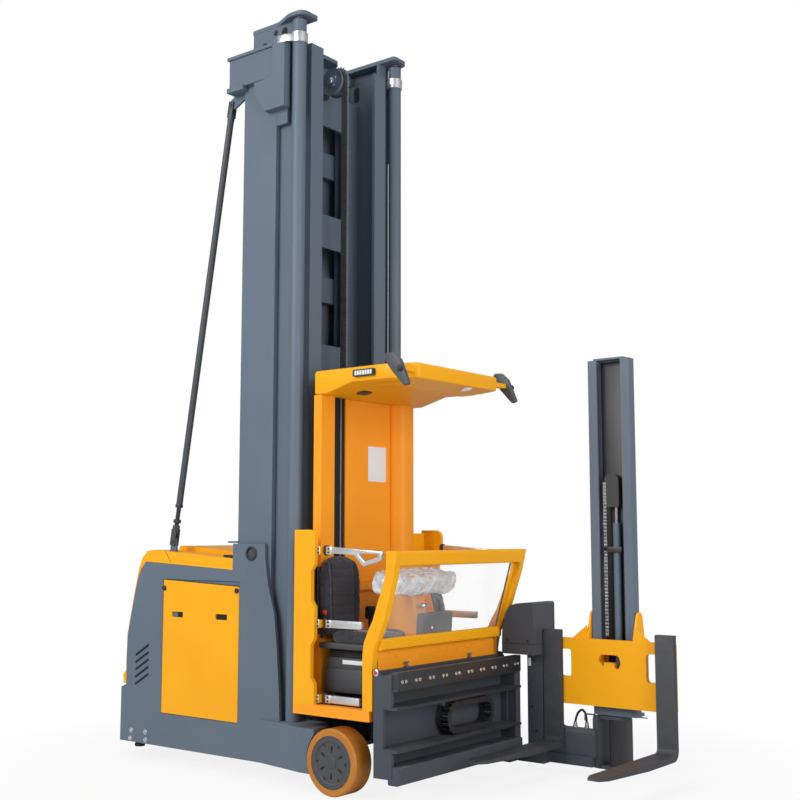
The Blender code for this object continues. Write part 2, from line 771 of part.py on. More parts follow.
def gate(name, side, body):
    """Three bars on one hinge strip, closed across the way in."""
    y = side * GATE_Y
    strip = side_block(side, -0.120, -0.100, GATE_Y - 0.008, GATE_Y + 0.008,
                       0.540, 1.440)
    bars = []
    for z, reach in ((0.585, 0.190), (0.985, 0.190)):
        outline = oblong(-0.114, z - 0.026, reach, z + 0.026, 0.008)
        low, high = sorted((side * (GATE_Y - 0.011), side * (GATE_Y + 0.011)))
        bars.append(extrusion("Y", outline, low, high))
    outline = rounded([(-0.114, 1.370, 0.01), (0.130, 1.250, 0.02),
                       (0.330, 1.300, 0.015), (0.330, 1.345, 0.015),
                       (0.060, 1.400, 0.02), (-0.114, 1.410, 0.01)])
    low, high = sorted((side * (GATE_Y - 0.011), side * (GATE_Y + 0.011)))
    top = extrusion("Y", outline, low, high)
    loop = rounded([(0.030, 1.345, 0.015), (0.140, 1.288, 0.015),
                    (0.230, 1.325, 0.015), (0.060, 1.368, 0.015)])
    cut(top, extrusion("Y", loop, y - 0.1, y + 0.1))
    bars.append(top)
    fuse(strip, *bars)
    finish("gate_" + name, strip, body, "aluminium")


def guard_post(side):
    outline = [(0.222, FLOOR_Z1 + GAP), (0.292, FLOOR_Z1 + GAP), (0.300, 0.780),
               (0.322, 0.860), (0.360, 0.940), (0.425, 1.100), (0.462, 1.250),
               (GUARD_X, GUARD_TOP), (0.402, GUARD_TOP), (0.385, 1.250),
               (0.345, 1.100), (0.285, 0.940), (0.250, 0.860), (0.230, 0.780)]
    low, high = sorted((side * 0.602, side * 0.645))
    post = extrusion("Y", outline, low, high)
    flare = (GUARD_Y - 0.645) / (GUARD_TOP - 0.860)
    for vertex in post.data.vertices:
        rise = max(0.0, vertex.co.z - 0.860)
        vertex.co.y += side * rise * flare
    return post


def front_guard(body):
    rail = rounded([(0.402, 1.310, 0.015), (0.478, 1.310, 0.015),
                    (GUARD_X, GUARD_TOP, 0.015), (0.402, GUARD_TOP, 0.015)])
    top = extrusion("Y", rail, -GUARD_Y + 0.002, GUARD_Y - 0.002)
    low = oblong(0.2965, 0.835, 0.334, 0.900, 0.01)
    low = extrusion("Y", low, -LOW_RAIL_Y, LOW_RAIL_Y)
    fuse(top, low, guard_post(-1), guard_post(1))
    finish("front_guard", top, body, "yellow_paint")


def guard_pane(body):
    outline = [(0.310, 0.9005), (0.316, 0.9005), (0.436, 1.3095), (0.430, 1.3095)]
    pane = extrusion("Y", outline, -0.585, 0.585)
    finish("guard_pane", pane, body, "clear_sheet")


def seat(body):
    z = FLOOR_Z1
    base = block(-0.190, 0.050, -0.270, 0.030, z + GAP, z + 0.200)
    bellows = block(-0.170, 0.040, -0.255, 0.015, z + 0.190, z + 0.340)
    pan = block(-0.200, 0.120, -0.320, 0.080, z + 0.330, z + 0.360)
    fuse(base, bellows, pan)
    finish("seat_base", base, body, "grey_plastic")
    cushion = rounded([(-0.165, z + 0.3605, 0.02), (0.150, z + 0.3605, 0.03),
                       (0.165, z + 0.440, 0.03), (-0.165, z + 0.430, 0.03)])
    cushion = extrusion("Y", cushion, -0.350, 0.110)
    finish("seat_cushion", cushion, body, "seat_cloth")
    back = rounded([(-0.225, z + 0.400, 0.02), (-0.170, z + 0.400, 0.02),
                    (-0.185, z + 0.820, 0.03), (-0.258, z + 0.860, 0.03)])
    back = extrusion("Y", back, -0.350, 0.110)
    finish("seat_back", back, body, "seat_cloth")


def console(body):
    column = block(0.170, 0.2615, -0.260, -0.100, FLOOR_Z1 + GAP, 1.140)
    desk = rounded([(0.150, 1.120, 0.02), (0.300, 1.105, 0.02),
                    (0.345, 1.215, 0.03), (0.110, 1.245, 0.03)])
    desk = extrusion("Y", desk, -0.330, 0.300)
    fuse(column, desk)
    finish("console", column, body, "yellow_paint", bevel=0.008)
    unit = rounded([(0.180, 0.8803, 0.01), (0.280, 0.8803, 0.01),
                    (0.290, 1.085, 0.02), (0.195, 1.065, 0.02)])
    unit = extrusion("Y", unit, -0.060, 0.270)
    stand = block(0.190, 0.250, 0.000, 0.200, FLOOR_Z1 + GAP, 0.900)
    fuse(unit, stand)
    finish("foot_housing", unit, body, "grey_plastic")


def roof_lamp(body):
    lamp = oblong(0.030, 2.430, 0.190, 2.472, 0.008)
    lamp = extrusion("Y", lamp, -0.5203, -0.5003)
    finish("roof_lamp", lamp, body, "black_plastic")


def traverse_frame(body):
    web = block(FRAME_X0, 0.320, -FRAME_Y, FRAME_Y, FRAME_Z0, FRAME_Z1)
    pieces = [block(0.310, 0.4015, -FRAME_Y, FRAME_Y, 0.620, FRAME_Z1 - 0.004),
              block(0.310, FRAME_X1, -FRAME_Y, FRAME_Y, 0.525, 0.542),
              block(0.310, FRAME_X1, -FRAME_Y, FRAME_Y, 0.265, 0.282),
              block(0.310, 0.415, -FRAME_Y, FRAME_Y, FRAME_Z0 + 0.001, 0.206)]
    for _, side in SIDES:
        plate = rounded([(FRAME_X0, FRAME_Z0, 0.03), (FRAME_X1 - 0.010, FRAME_Z0, 0.05),
                         (FRAME_X1 - 0.010, 0.620, 0), (0.4015, 0.620, 0),
                         (0.4015, FRAME_Z1, 0), (FRAME_X0, FRAME_Z1, 0)])
        low, high = sorted((side * (FRAME_Y - 0.020), side * (FRAME_Y + 0.001)))
        pieces.append(extrusion("Y", plate, low, high))
    rail = oblong(0.3950, 0.6215, 0.430, FRAME_Z1, 0.006)
    pieces.append(extrusion("Y", rail, -FRAME_Y + 0.004, FRAME_Y - 0.004))
    fuse(web, *pieces)
    finish("traverse_frame", web, body, "slate_paint")


def energy_chain(body):
    outer = oblong(-0.120, 0.2825, 0.330, 0.480, 0.098, 8)
    loop = extrusion("X", outer, 0.345, 0.415)
    inner = oblong(-0.080, 0.322, 0.290, 0.440, 0.058, 8)
    cut(loop, extrusion("X", inner, 0.300, 0.460))
    fuse(loop, block(0.3203, 0.360, -0.100, 0.000, 0.450, 0.480))
    finish("energy_chain", loop, body, "black_plastic")


# Fork head

def turret_carriage(body):
    """Hooks over the top rail and under the bottom bar."""
    outline = [(TURRET_X1, TURRET_Z0), (TURRET_X1, TURRET_TOP - 0.010),
               (TURRET_X1 - 0.010, TURRET_TOP), (0.550, TURRET_TOP),
               (0.490, 1.030), (0.440, 1.005), (0.405, 0.970), (0.380, 0.925),
               (0.364, 0.870), (0.358, 0.800), (0.358, 0.729), (0.437, 0.729),
               (0.437, 0.092), (0.340, 0.092), (0.340, TURRET_Z0)]
    case = extrusion("Y", outline, TURRET_Y0, TURRET_Y1)
    shoe = block(0.361, 0.398, 0.590, TURRET_Y0 + 0.01, 0.731, 0.800)
    foot = block(0.344, 0.410, 0.590, TURRET_Y0 + 0.01, TURRET_Z0 + 0.005, 0.089)
    beam = rounded([(0.745, 0.115, 0.01), (0.830, 0.115, 0.01),
                    (0.830, 0.285, 0.03), (0.745, 0.285, 0.03)])
    beam = extrusion("X", beam, TURRET_X1 - 0.01, 0.930)
    web = block(TURRET_X1 - 0.01, 0.915, 0.735, 0.840, 0.060, 0.120)
    gusset = [(TURRET_X1 - 0.01, 0.280), (0.700, 0.280)]
    gusset += arc((0.700, 0.390), 0.100, 270, 180, 6)
    gusset += [(0.600, 0.480), (TURRET_X1 - 0.01, 0.480)]
    gusset = extrusion("Y", gusset, 0.780, 0.796)
    plate = rounded([(0.780, 0.048, 0.02), (0.955, 0.048, 0.02),
                     (0.955, 0.366, 0.02), (0.780, 0.366, 0.02)])
    plate = extrusion("X", plate, 0.900, 0.935)
    fuse(case, shoe, foot, beam, web, gusset, plate)
    lugs = []
    for z0 in (0.045, 0.348):
        outline = [(0.920, HEAD_Y - 0.070), (HEAD_X, HEAD_Y - 0.070)]
        outline += arc((HEAD_X, HEAD_Y), 0.070, -90, 90, 8)
        outline += [(0.920, HEAD_Y + 0.070)]
        lugs.append(extrusion("Z", outline, z0, z0 + 0.020))
    fuse(case, *lugs)
    cut(case, cylinder("Z", HEAD_X, HEAD_Y, 0.041, 0.300, 0.500))
    finish("turret_carriage", case, body, "slate_paint")


def swivel_column(body):
    """Pivot column between the carriage's lugs, with a neck through the top."""
    column = oblong(HEAD_X - 0.090, HEAD_Y - 0.075, HEAD_X + 0.090,
                    HEAD_Y + 0.075, 0.050)
    column = extrusion("Z", column, 0.0655, 0.3475)
    neck = cylinder("Z", HEAD_X, HEAD_Y, 0.040, 0.340, HEAD_Z0 - GAP)
    fuse(column, neck)
    finish("swivel_column", column, body, "black_steel")


def head_mast(body):
    z0 = HEAD_Z0
    rails = []
    for side in (-1, 1):
        x_out = HEAD_X + side * HEAD_HALF
        xs = [x_out, x_out - side * 0.010, x_out - side * 0.060]
        outline = [(xs[0], HEAD_Y0), (xs[2], HEAD_Y0), (xs[2], HEAD_Y0 + 0.012),
                   (xs[1], HEAD_Y0 + 0.012), (xs[1], HEAD_Y1 - 0.012),
                   (xs[2], HEAD_Y1 - 0.012), (xs[2], HEAD_Y1), (xs[0], HEAD_Y1)]
        rails.append(extrusion("Z", outline, z0, HEAD_TOP - 0.010))
    x0 = HEAD_X - HEAD_HALF
    x1 = HEAD_X + HEAD_HALF
    rails.append(block(x0 + 0.004, x1 - 0.004, HEAD_Y1 - 0.006, HEAD_Y1 + 0.006,
                       1.870, HEAD_TOP - 0.010))
    rails.append(block(x0 + 0.040, x1 - 0.040, HEAD_Y0, HEAD_Y1 + 0.008,
                       HEAD_TOP - 0.012, HEAD_TOP))
    rails.append(block(x0 + 0.004, x1 - 0.004, HEAD_Y0 + 0.002, HEAD_Y1 + 0.050,
                       z0, z0 + 0.020))
    rails.append(block(x0 + 0.002, x1 - 0.002, HEAD_Y0 + 0.002, HEAD_Y0 + 0.011,
                       z0 + 0.001, 0.440))
    for low in (0.440, 1.370):
        rails.append(block(x0 + 0.004, x1 - 0.004, HEAD_Y1 - 0.006, HEAD_Y1 + 0.008,
                           low, low + 0.060))
    frame = rails.pop(0)
    fuse(frame, *rails)
    finish("head_mast", frame, body, "slate_paint")
    profile = [(0.0125, 1.560), (0.024, 1.560), (0.024, HEAD_Z0 + 0.0203),
               (0.0, HEAD_Z0 + 0.0203), (0.0, 0.480), (0.0125, 0.480)]
    barrel = turned("Z", HEAD_X + 0.020, 0.838, profile, 16)
    finish("head_cylinder", barrel, body, "slate_paint")


def head_rod(body):
    bar = cylinder("Z", HEAD_X + 0.020, 0.838, 0.011, 0.700, 1.700, 12)
    house = rounded([(HEAD_X - 0.048, 1.660, 0.01), (HEAD_X + 0.052, 1.660, 0.01),
                     (HEAD_X + 0.052, 1.870, 0.045), (HEAD_X - 0.048, 1.870, 0.045)])
    house = extrusion("Y", house, 0.808, 0.852)
    fuse(bar, house)
    finish("head_rod", bar, body, "black_steel")


def fork_carriage(body):
    x0 = HEAD_X - PLATE_HALF
    x1 = HEAD_X + PLATE_HALF
    y0 = SHANK_Y + FORK_T + GAP
    outline = oblong(x0, PLATE_Z0, x1, PLATE_Z1, 0.010, 2)
    plate = extrusion("Y", outline, y0, y0 + 0.036)
    pieces = []
    for side in (-1, 1):
        x = HEAD_X + side * 0.186
        ear = rounded([(x - 0.052, 0.800, 0), (x + 0.052, 0.800, 0),
                       (x + 0.052, 1.020, 0.045), (x - 0.052, 1.020, 0.045)])
        pieces.append(extrusion("Y", ear, y0, y0 + 0.030))
        x = HEAD_X + side * 0.068
        arm = rounded([(x - 0.010, y0 + 0.03, 0), (x + 0.010, y0 + 0.03, 0),
                       (x + 0.010, 0.855, 0.005), (x - 0.010, 0.855, 0.005)])
        pieces.append(extrusion("Z", arm, 0.480, 0.800))
        for z in (0.520, 0.760):
            low, high = sorted((x, HEAD_X + side * 0.128))
            pieces.append(cylinder("X", 0.835, z, 0.018, low, high, 16))
    pieces.append(block(HEAD_X - 0.052, HEAD_X - 0.012, y0 + 0.030, y0 + 0.048,
                        0.780, 0.900))
    fuse(plate, *pieces)
    cuts = []
    for side in (-1, 1):
        x = HEAD_X + side * 0.310
        slot = oblong(x - 0.042, 0.600, x + 0.042, 0.770, 0.020)
        cuts.append(extrusion("Y", slot, y0 - 0.05, y0 + 0.1))
    slot = rounded([(HEAD_X - 0.065, 0.690, 0.008), (HEAD_X + 0.065, 0.690, 0.008),
                    (HEAD_X + 0.040, 0.750, 0.020), (HEAD_X - 0.040, 0.750, 0.020)])
    cuts.append(extrusion("Y", slot, y0 - 0.05, y0 + 0.1))
    cut(plate, *cuts)
    finish("fork_carriage", plate, body, "yellow_paint")


def fork(name, side, body):
    """L fork: an upright shank and a blade that tapers to its tip."""
    x = HEAD_X + side * FORK_HALF_GAP
    heel = BLADE_TOP - FORK_T
    outline = [(SHANK_Y + FORK_T, 0.890), (SHANK_Y + 0.004, 0.890),
               (SHANK_Y, 0.880)]
    outline += arc((SHANK_Y - 0.030, BLADE_TOP + 0.030), 0.030, 0, -90, 4)
    outline += [(BLADE_TIP_Y + 0.010, BLADE_TOP), (BLADE_TIP_Y, BLADE_TOP - 0.010),
                (BLADE_TIP_Y + 0.010, BLADE_TOP - 0.014), (0.350, heel)]
    outline += arc((SHANK_Y - 0.020, heel + 0.060), 0.060, -90, 0, 5)
    bar = extrusion("X", outline, x - FORK_W / 2, x + FORK_W / 2)
    corners = []
    for way in (-1, 1):
        edge = x + way * FORK_W / 2
        corner = [(edge + way * 0.01, BLADE_TIP_Y - 0.01),
                  (edge - way * 0.035, BLADE_TIP_Y - 0.01),
                  (edge + way * 0.01, BLADE_TIP_Y + 0.10)]
        corners.append(extrusion("Z", corner, 0.1, 0.3))
    cut(bar, *corners)
    finish("fork_" + name, bar, body, "fork_steel")


def build():
    clear_scene()
    truck = pivot("truck", None, (0, 0, 0))
    lid = pivot("lid_hinge", truck, (LID_X0, 0, LID_PIVOT_Z))
    steer = pivot("drive_steer", truck, (DRIVE_X, 0, 0.480))
    spin = pivot("drive_spin", steer, (DRIVE_X, 0, DRIVE_R))
    middle = pivot("middle_stage", truck, (-0.690, 0, MAST_Z))
    inner = pivot("inner_stage", middle, (-0.630, 0, MAST_Z))
    cab = pivot("cab", inner, (0, 0, FLOOR_Z1))
    turret = pivot("turret", cab, (0.430, TURRET_Y0, 0.400))
    swivel = pivot("swivel", turret, (HEAD_X, HEAD_Y, 0.200))
    ram = pivot("head_ram", swivel, (HEAD_X, 0.838, 0.500))
    lift = pivot("fork_lift", swivel, (HEAD_X, SHANK_Y, BLADE_TOP))
    chassis_frame(truck)
    hood(truck, lid)
    battery_and_panels(truck)
    drive_unit(steer, spin)
    mast_outer(truck)
    mast_middle(middle)
    mast_inner(inner)
    lift_chain(inner)
    for name, side in SIDES:
        axle = pivot("load_axle_" + name, truck, (0, side * WHEEL_OUT_Y, WHEEL_R))
        load_wheel(name, side, axle)
        tie_rod(name, side, truck)
        lift_cylinder(name, side, truck)
        cab_side(name, side, cab)
        hinge = pivot("gate_hinge_" + name, cab, (GATE_X, side * GATE_Y, 1.0))
        gate(name, side, hinge)
    cab_floor(cab)
    cab_back(cab)
    cab_roof(cab)
    front_guard(cab)
    guard_pane(cab)
    seat(cab)
    console(cab)
    roof_lamp(cab)
    traverse_frame(cab)
    energy_chain(cab)
    turret_carriage(turret)
    swivel_column(swivel)
    head_mast(swivel)
    head_rod(ram)
    fork_carriage(lift)
    fork("front", 1, lift)
    fork("rear", -1, lift)


build()
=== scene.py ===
import json
import math

import bmesh
import bpy
from mathutils import Matrix, Vector, noise

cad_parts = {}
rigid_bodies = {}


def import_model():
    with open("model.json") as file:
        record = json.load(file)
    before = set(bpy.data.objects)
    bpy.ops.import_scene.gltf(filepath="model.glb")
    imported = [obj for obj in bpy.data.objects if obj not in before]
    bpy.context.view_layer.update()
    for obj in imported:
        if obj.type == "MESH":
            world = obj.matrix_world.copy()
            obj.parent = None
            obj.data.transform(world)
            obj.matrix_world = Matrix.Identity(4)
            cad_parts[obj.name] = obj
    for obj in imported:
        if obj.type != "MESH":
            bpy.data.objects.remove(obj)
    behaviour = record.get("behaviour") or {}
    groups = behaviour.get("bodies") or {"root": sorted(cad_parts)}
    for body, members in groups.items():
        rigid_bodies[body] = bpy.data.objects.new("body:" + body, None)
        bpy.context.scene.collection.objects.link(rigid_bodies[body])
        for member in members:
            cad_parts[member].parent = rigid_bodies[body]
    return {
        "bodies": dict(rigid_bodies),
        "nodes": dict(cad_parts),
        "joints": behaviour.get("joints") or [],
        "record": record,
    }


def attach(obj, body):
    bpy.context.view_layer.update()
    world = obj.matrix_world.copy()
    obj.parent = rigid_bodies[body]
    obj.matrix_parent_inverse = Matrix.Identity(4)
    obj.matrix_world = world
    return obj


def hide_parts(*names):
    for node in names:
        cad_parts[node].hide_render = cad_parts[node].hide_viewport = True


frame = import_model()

# Places below are in the truck's own frame, with x = 0 on the load wheels'
# axle, y = 0 on the centre line and z = 0 on the floor. SHIFT leads from there
# to the CAD's frame, whose origin is the middle of the footprint.
SHIFT = Vector((0.2525, -0.113, 0.0))
SIDES = (("right", -1), ("left", 1))
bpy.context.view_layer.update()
NODES = frame["nodes"]
RIGHT = (0, -1, 0)
LEFT = (0, 1, 0)
FRONT = (1, 0, 0)
UP = (0, 0, 1)


# Sizes that the rigid forms share with the CAD, in the truck's own frame

GAP = 0.0003
REAR_X = -1.995
WHEEL_R = 0.19
WHEEL_SIDES = 48
STUB_R = 0.036
ARM_IN_Y = 0.395
ARM_OUT_Y = 0.505
ARM_HALF_H = 0.075
LEG_TOP = 0.36
BODY_Y = 0.56
BODY_Z = 0.1
BODY_TOP_REAR = 1.305
BODY_TOP_FRONT = 1.262
SKIN = 0.012
BAY_X0 = -1.45
BAY_X1 = -0.93
BAY_Z0 = 0.34
BAY_Z1 = 1.16
PANEL_X0 = -1.583
PANEL_X1 = -0.868
PANEL_Z0 = 0.318
PANEL_Z1 = 1.188
PANEL_DROP = 0.03
PANEL_T = 0.011
DOOR_SLOT_X = (-1.443, -1.028)
BOSS = (-0.762, 1.369)
HOOD_REAR_Z = 1.385
HOOD_FRONT_Z = 1.335
HOOD_X1 = -0.9315
LID_X0 = -1.66
LID_X1 = -0.99
LID_Y = 0.36
LID_RISE = 0.03
OUTER_X0 = -0.905
OUTER_X1 = -0.614
OUTER_Y = 0.536
OUTER_TOP = 4.64
MIDDLE_X0 = -0.872
MIDDLE_X1 = -0.508
MIDDLE_Y = 0.498
MIDDLE_TOP = 4.8325
INNER_X0 = -0.812
INNER_X1 = -0.447
INNER_Y = 0.388
INNER_TOP = 4.7
MAST_Z = 0.13
CYL_X = -0.45
CYL_Y = 0.5
CYL_R = 0.045
ROD_R = 0.028
CYL_TOP = 4.8085
CAP_Z = 4.8545
TIE_Y = 0.5
TIE_TOP = (-1.062, 4.378)
TIE_FOOT = (-1.555, 1.44)
TIE_R = 0.022
FLOOR_Z0 = 0.44
FLOOR_Z1 = 0.5
CAB_X0 = -0.31
CAB_Y = 0.65
BACK_Y = 0.497
ROOF_X1 = 0.455
ROOF_REAR_Z = 2.345
ROOF_Z0 = 2.4
ROOF_Z1 = 2.495
SIDE_TOP = 1.516
SIDE_X1 = -0.147
GATE_Y = 0.588
GATE_PIN_X = -0.11
GATE_BARS = (0.533, 0.965, 1.393)
GUARD_X = 0.495
GUARD_Y = 0.68
GUARD_TOP = 1.395
LOW_RAIL_Y = 0.62
FRAME_Y = 0.645
FRAME_X0 = 0.3
FRAME_X1 = 0.466
FRAME_Z0 = 0.113
FRAME_Z1 = 0.723
TURRET_Y0 = 0.7
TURRET_Y1 = 0.858
TURRET_X1 = 0.592
TURRET_Z0 = 0.05
TURRET_TOP = 1.058
HEAD_X = 1.045
HEAD_Y = 0.875
HEAD_Z0 = 0.3745
FORK_HALF_GAP = 0.385
FORK_W = 0.12
FORK_T = 0.04
SHANK_Y = 0.7
BLADE_TOP = 0.205
BLADE_TIP_Y = -0.205
PLATE_HALF = 0.432
PLATE_Z0 = 0.433
PLATE_Z1 = 0.84


# Shader nodes

def add(tree, kind, inputs=None, **settings):
    """New node, with each input linked to a socket or set to a value."""
    node = tree.nodes.new(kind)
    for key, value in settings.items():
        setattr(node, key, value)
    for key, value in (inputs or {}).items():
        if isinstance(value, bpy.types.NodeSocket):
            tree.links.new(value, node.inputs[key])
        else:
            node.inputs[key].default_value = value
    return node


def mixed(tree, factor, first, second, blend="MIX"):
    node = add(tree, "ShaderNodeMix", {0: factor, 6: first, 7: second},
               data_type="RGBA", blend_type=blend)
    return node.outputs[2]


def sums(tree, operation, first, second):
    node = add(tree, "ShaderNodeMath", {0: first, 1: second}, operation=operation)
    return node.outputs[0]


def ramp(tree, value, low, high, to_low=0.0, to_high=1.0):
    node = add(tree, "ShaderNodeMapRange",
               {0: value, 1: low, 2: high, 3: to_low, 4: to_high})
    return node.outputs[0]


def speckle(tree, where, scale, detail=3.0):
    node = add(tree, "ShaderNodeTexNoise",
               {"Vector": where, "Scale": scale, "Detail": detail})
    return node.outputs[0]


def rgba(colour):
    return (*colour, 1.0) if len(colour) == 3 else colour


def shader_group(name, inputs, outputs):
    tree = bpy.data.node_groups.new(name, "ShaderNodeTree")
    kinds = {"c": "NodeSocketColor", "f": "NodeSocketFloat", "v": "NodeSocketVector"}
    for label, kind, value in inputs:
        socket = tree.interface.new_socket(label, in_out="INPUT", socket_type=kinds[kind])
        socket.default_value = value
    for label, kind in outputs:
        tree.interface.new_socket(label, in_out="OUTPUT", socket_type=kinds[kind])
    given = tree.nodes.new("NodeGroupInput").outputs
    return tree, given, tree.nodes.new("NodeGroupOutput").inputs


def coat_group():
    """Sprayed or moulded skin: soft patches, dust on what faces up, fine grain."""
    tree, given, result = shader_group("skin", [
        ("Colour", "c", (1, 1, 1, 1)), ("Patch Colour", "c", (1, 1, 1, 1)),
        ("Patch Scale", "f", 2.0), ("Dust Colour", "c", (0.5, 0.48, 0.45, 1)),
        ("Dust", "f", 0.2), ("Grain Scale", "f", 400.0), ("Roughness", "f", 0.4),
        ("Roughness Spread", "f", 0.1)],
        [("Colour", "c"), ("Roughness", "f"), ("Height", "f")])
    where = tree.nodes.new("ShaderNodeTexCoord").outputs["Object"]
    patch = ramp(tree, speckle(tree, where, given["Patch Scale"], 4.0), 0.35, 0.68)
    colour = mixed(tree, patch, given["Colour"], given["Patch Colour"])
    facing = add(tree, "ShaderNodeSeparateXYZ",
                 {0: tree.nodes.new("ShaderNodeNewGeometry").outputs["Normal"]}).outputs[2]
    dust = sums(tree, "MULTIPLY", ramp(tree, facing, 0.3, 1.0),
                ramp(tree, speckle(tree, where, 7.0, 6.0), 0.38, 0.75))
    dust = sums(tree, "MULTIPLY", dust, given["Dust"])
    grain = speckle(tree, where, given["Grain Scale"], 2.0)
    tree.links.new(mixed(tree, dust, colour, given["Dust Colour"]), result["Colour"])
    rough = sums(tree, "MULTIPLY", sums(tree, "SUBTRACT", grain, 0.5),
                 given["Roughness Spread"])
    rough = sums(tree, "ADD", sums(tree, "ADD", rough, given["Roughness"]),
                 sums(tree, "MULTIPLY", dust, 0.35))
    tree.links.new(rough, result["Roughness"])
    tree.links.new(grain, result["Height"])
    return tree


def metal_group():
    """Bare or blacked metal: drawn lines along one direction and dull spots."""
    tree, given, result = shader_group("bare metal", [
        ("Colour", "c", (1, 1, 1, 1)), ("Dull Colour", "c", (1, 1, 1, 1)),
        ("Stretch", "v", (1, 1, 1)), ("Line Scale", "f", 60.0), ("Dull", "f", 0.4),
        ("Roughness", "f", 0.3)],
        [("Colour", "c"), ("Roughness", "f"), ("Height", "f")])
    where = tree.nodes.new("ShaderNodeTexCoord").outputs["Object"]
    drawn = add(tree, "ShaderNodeMapping", {"Vector": where, "Scale": given["Stretch"]})
    lines = speckle(tree, drawn.outputs[0], given["Line Scale"], 3.0)
    spots = ramp(tree, speckle(tree, where, 14.0, 5.0), 0.45, 0.7)
    spots = sums(tree, "MULTIPLY", spots, given["Dull"])
    colour = mixed(tree, spots, given["Colour"], given["Dull Colour"])
    shade = ramp(tree, lines, 0.3, 0.7, 0.86, 1.0)
    tree.links.new(mixed(tree, 1.0, colour, shade, "MULTIPLY"), result["Colour"])
    rough = sums(tree, "ADD", given["Roughness"],
                 ramp(tree, lines, 0.3, 0.7, -0.05, 0.08))
    rough = sums(tree, "ADD", rough, sums(tree, "MULTIPLY", spots, 0.25))
    tree.links.new(rough, result["Roughness"])
    tree.links.new(lines, result["Height"])
    return tree


def weave_group():
    """Plain weave from two crossed bands, with slubs."""
    tree, given, result = shader_group("weave", [
        ("Thread", "c", (1, 1, 1, 1)), ("Gap", "c", (0, 0, 0, 1)),
        ("Threads", "f", 220.0)], [("Colour", "c"), ("Height", "f")])
    where = tree.nodes.new("ShaderNodeTexCoord").outputs["Object"]
    height = None
    for axis in ("Y", "Z"):
        band = add(tree, "ShaderNodeTexWave",
                   {"Vector": where, "Scale": given["Threads"], "Distortion": 0.6},
                   bands_direction=axis).outputs[1]
        height = band if height is None else sums(tree, "MULTIPLY", height, band)
    slub = ramp(tree, speckle(tree, where, 45.0, 4.0), 0.3, 0.7, 0.55, 1.0)
    height = sums(tree, "MULTIPLY", height, slub)
    tree.links.new(mixed(tree, ramp(tree, height, 0.0, 0.6), given["Gap"], given["Thread"]),
                   result["Colour"])
    tree.links.new(height, result["Height"])
    return tree


COAT = coat_group()
METAL = metal_group()
WEAVE = weave_group()


def new_material(name, shader_values):
    made = bpy.data.materials.new(name)
    made.use_nodes = True
    shader = made.node_tree.nodes["Principled BSDF"]
    for key, value in shader_values.items():
        shader.inputs[key].default_value = value
    return made, made.node_tree, shader


def with_group(made, tree, shader, group, values, strength, distance):
    node = tree.nodes.new("ShaderNodeGroup")
    node.node_tree = group
    for key, value in values.items():
        colour = isinstance(value, tuple) and node.inputs[key].type == "RGBA"
        node.inputs[key].default_value = rgba(value) if colour else value
    tree.links.new(node.outputs["Colour"], shader.inputs["Base Color"])
    if "Roughness" in node.outputs:
        tree.links.new(node.outputs["Roughness"], shader.inputs["Roughness"])
    bump = add(tree, "ShaderNodeBump", {"Height": node.outputs["Height"],
                                        "Strength": strength, "Distance": distance})
    tree.links.new(bump.outputs[0], shader.inputs["Normal"])
    return made


def coated(name, colour, patch, roughness, grain=400.0, dust=0.15, bump=0.15,
           spread=0.1, patch_scale=1.6, depth=0.0004, **shader_values):
    made = new_material(name, {key.replace("_", " "): value
                               for key, value in shader_values.items()})
    return with_group(*made, COAT, {
        "Colour": colour, "Patch Colour": patch, "Patch Scale": patch_scale,
        "Dust": dust, "Grain Scale": grain, "Roughness": roughness,
        "Roughness Spread": spread}, bump, depth)


def metal(name, colour, dull, roughness, metallic=1.0, stretch=(1, 1, 12),
          lines=60.0, spots=0.4, bump=0.1):
    made = new_material(name, {"Metallic": metallic})
    return with_group(*made, METAL, {
        "Colour": colour, "Dull Colour": dull, "Stretch": stretch,
        "Line Scale": lines, "Dull": spots, "Roughness": roughness}, bump, 0.0003)


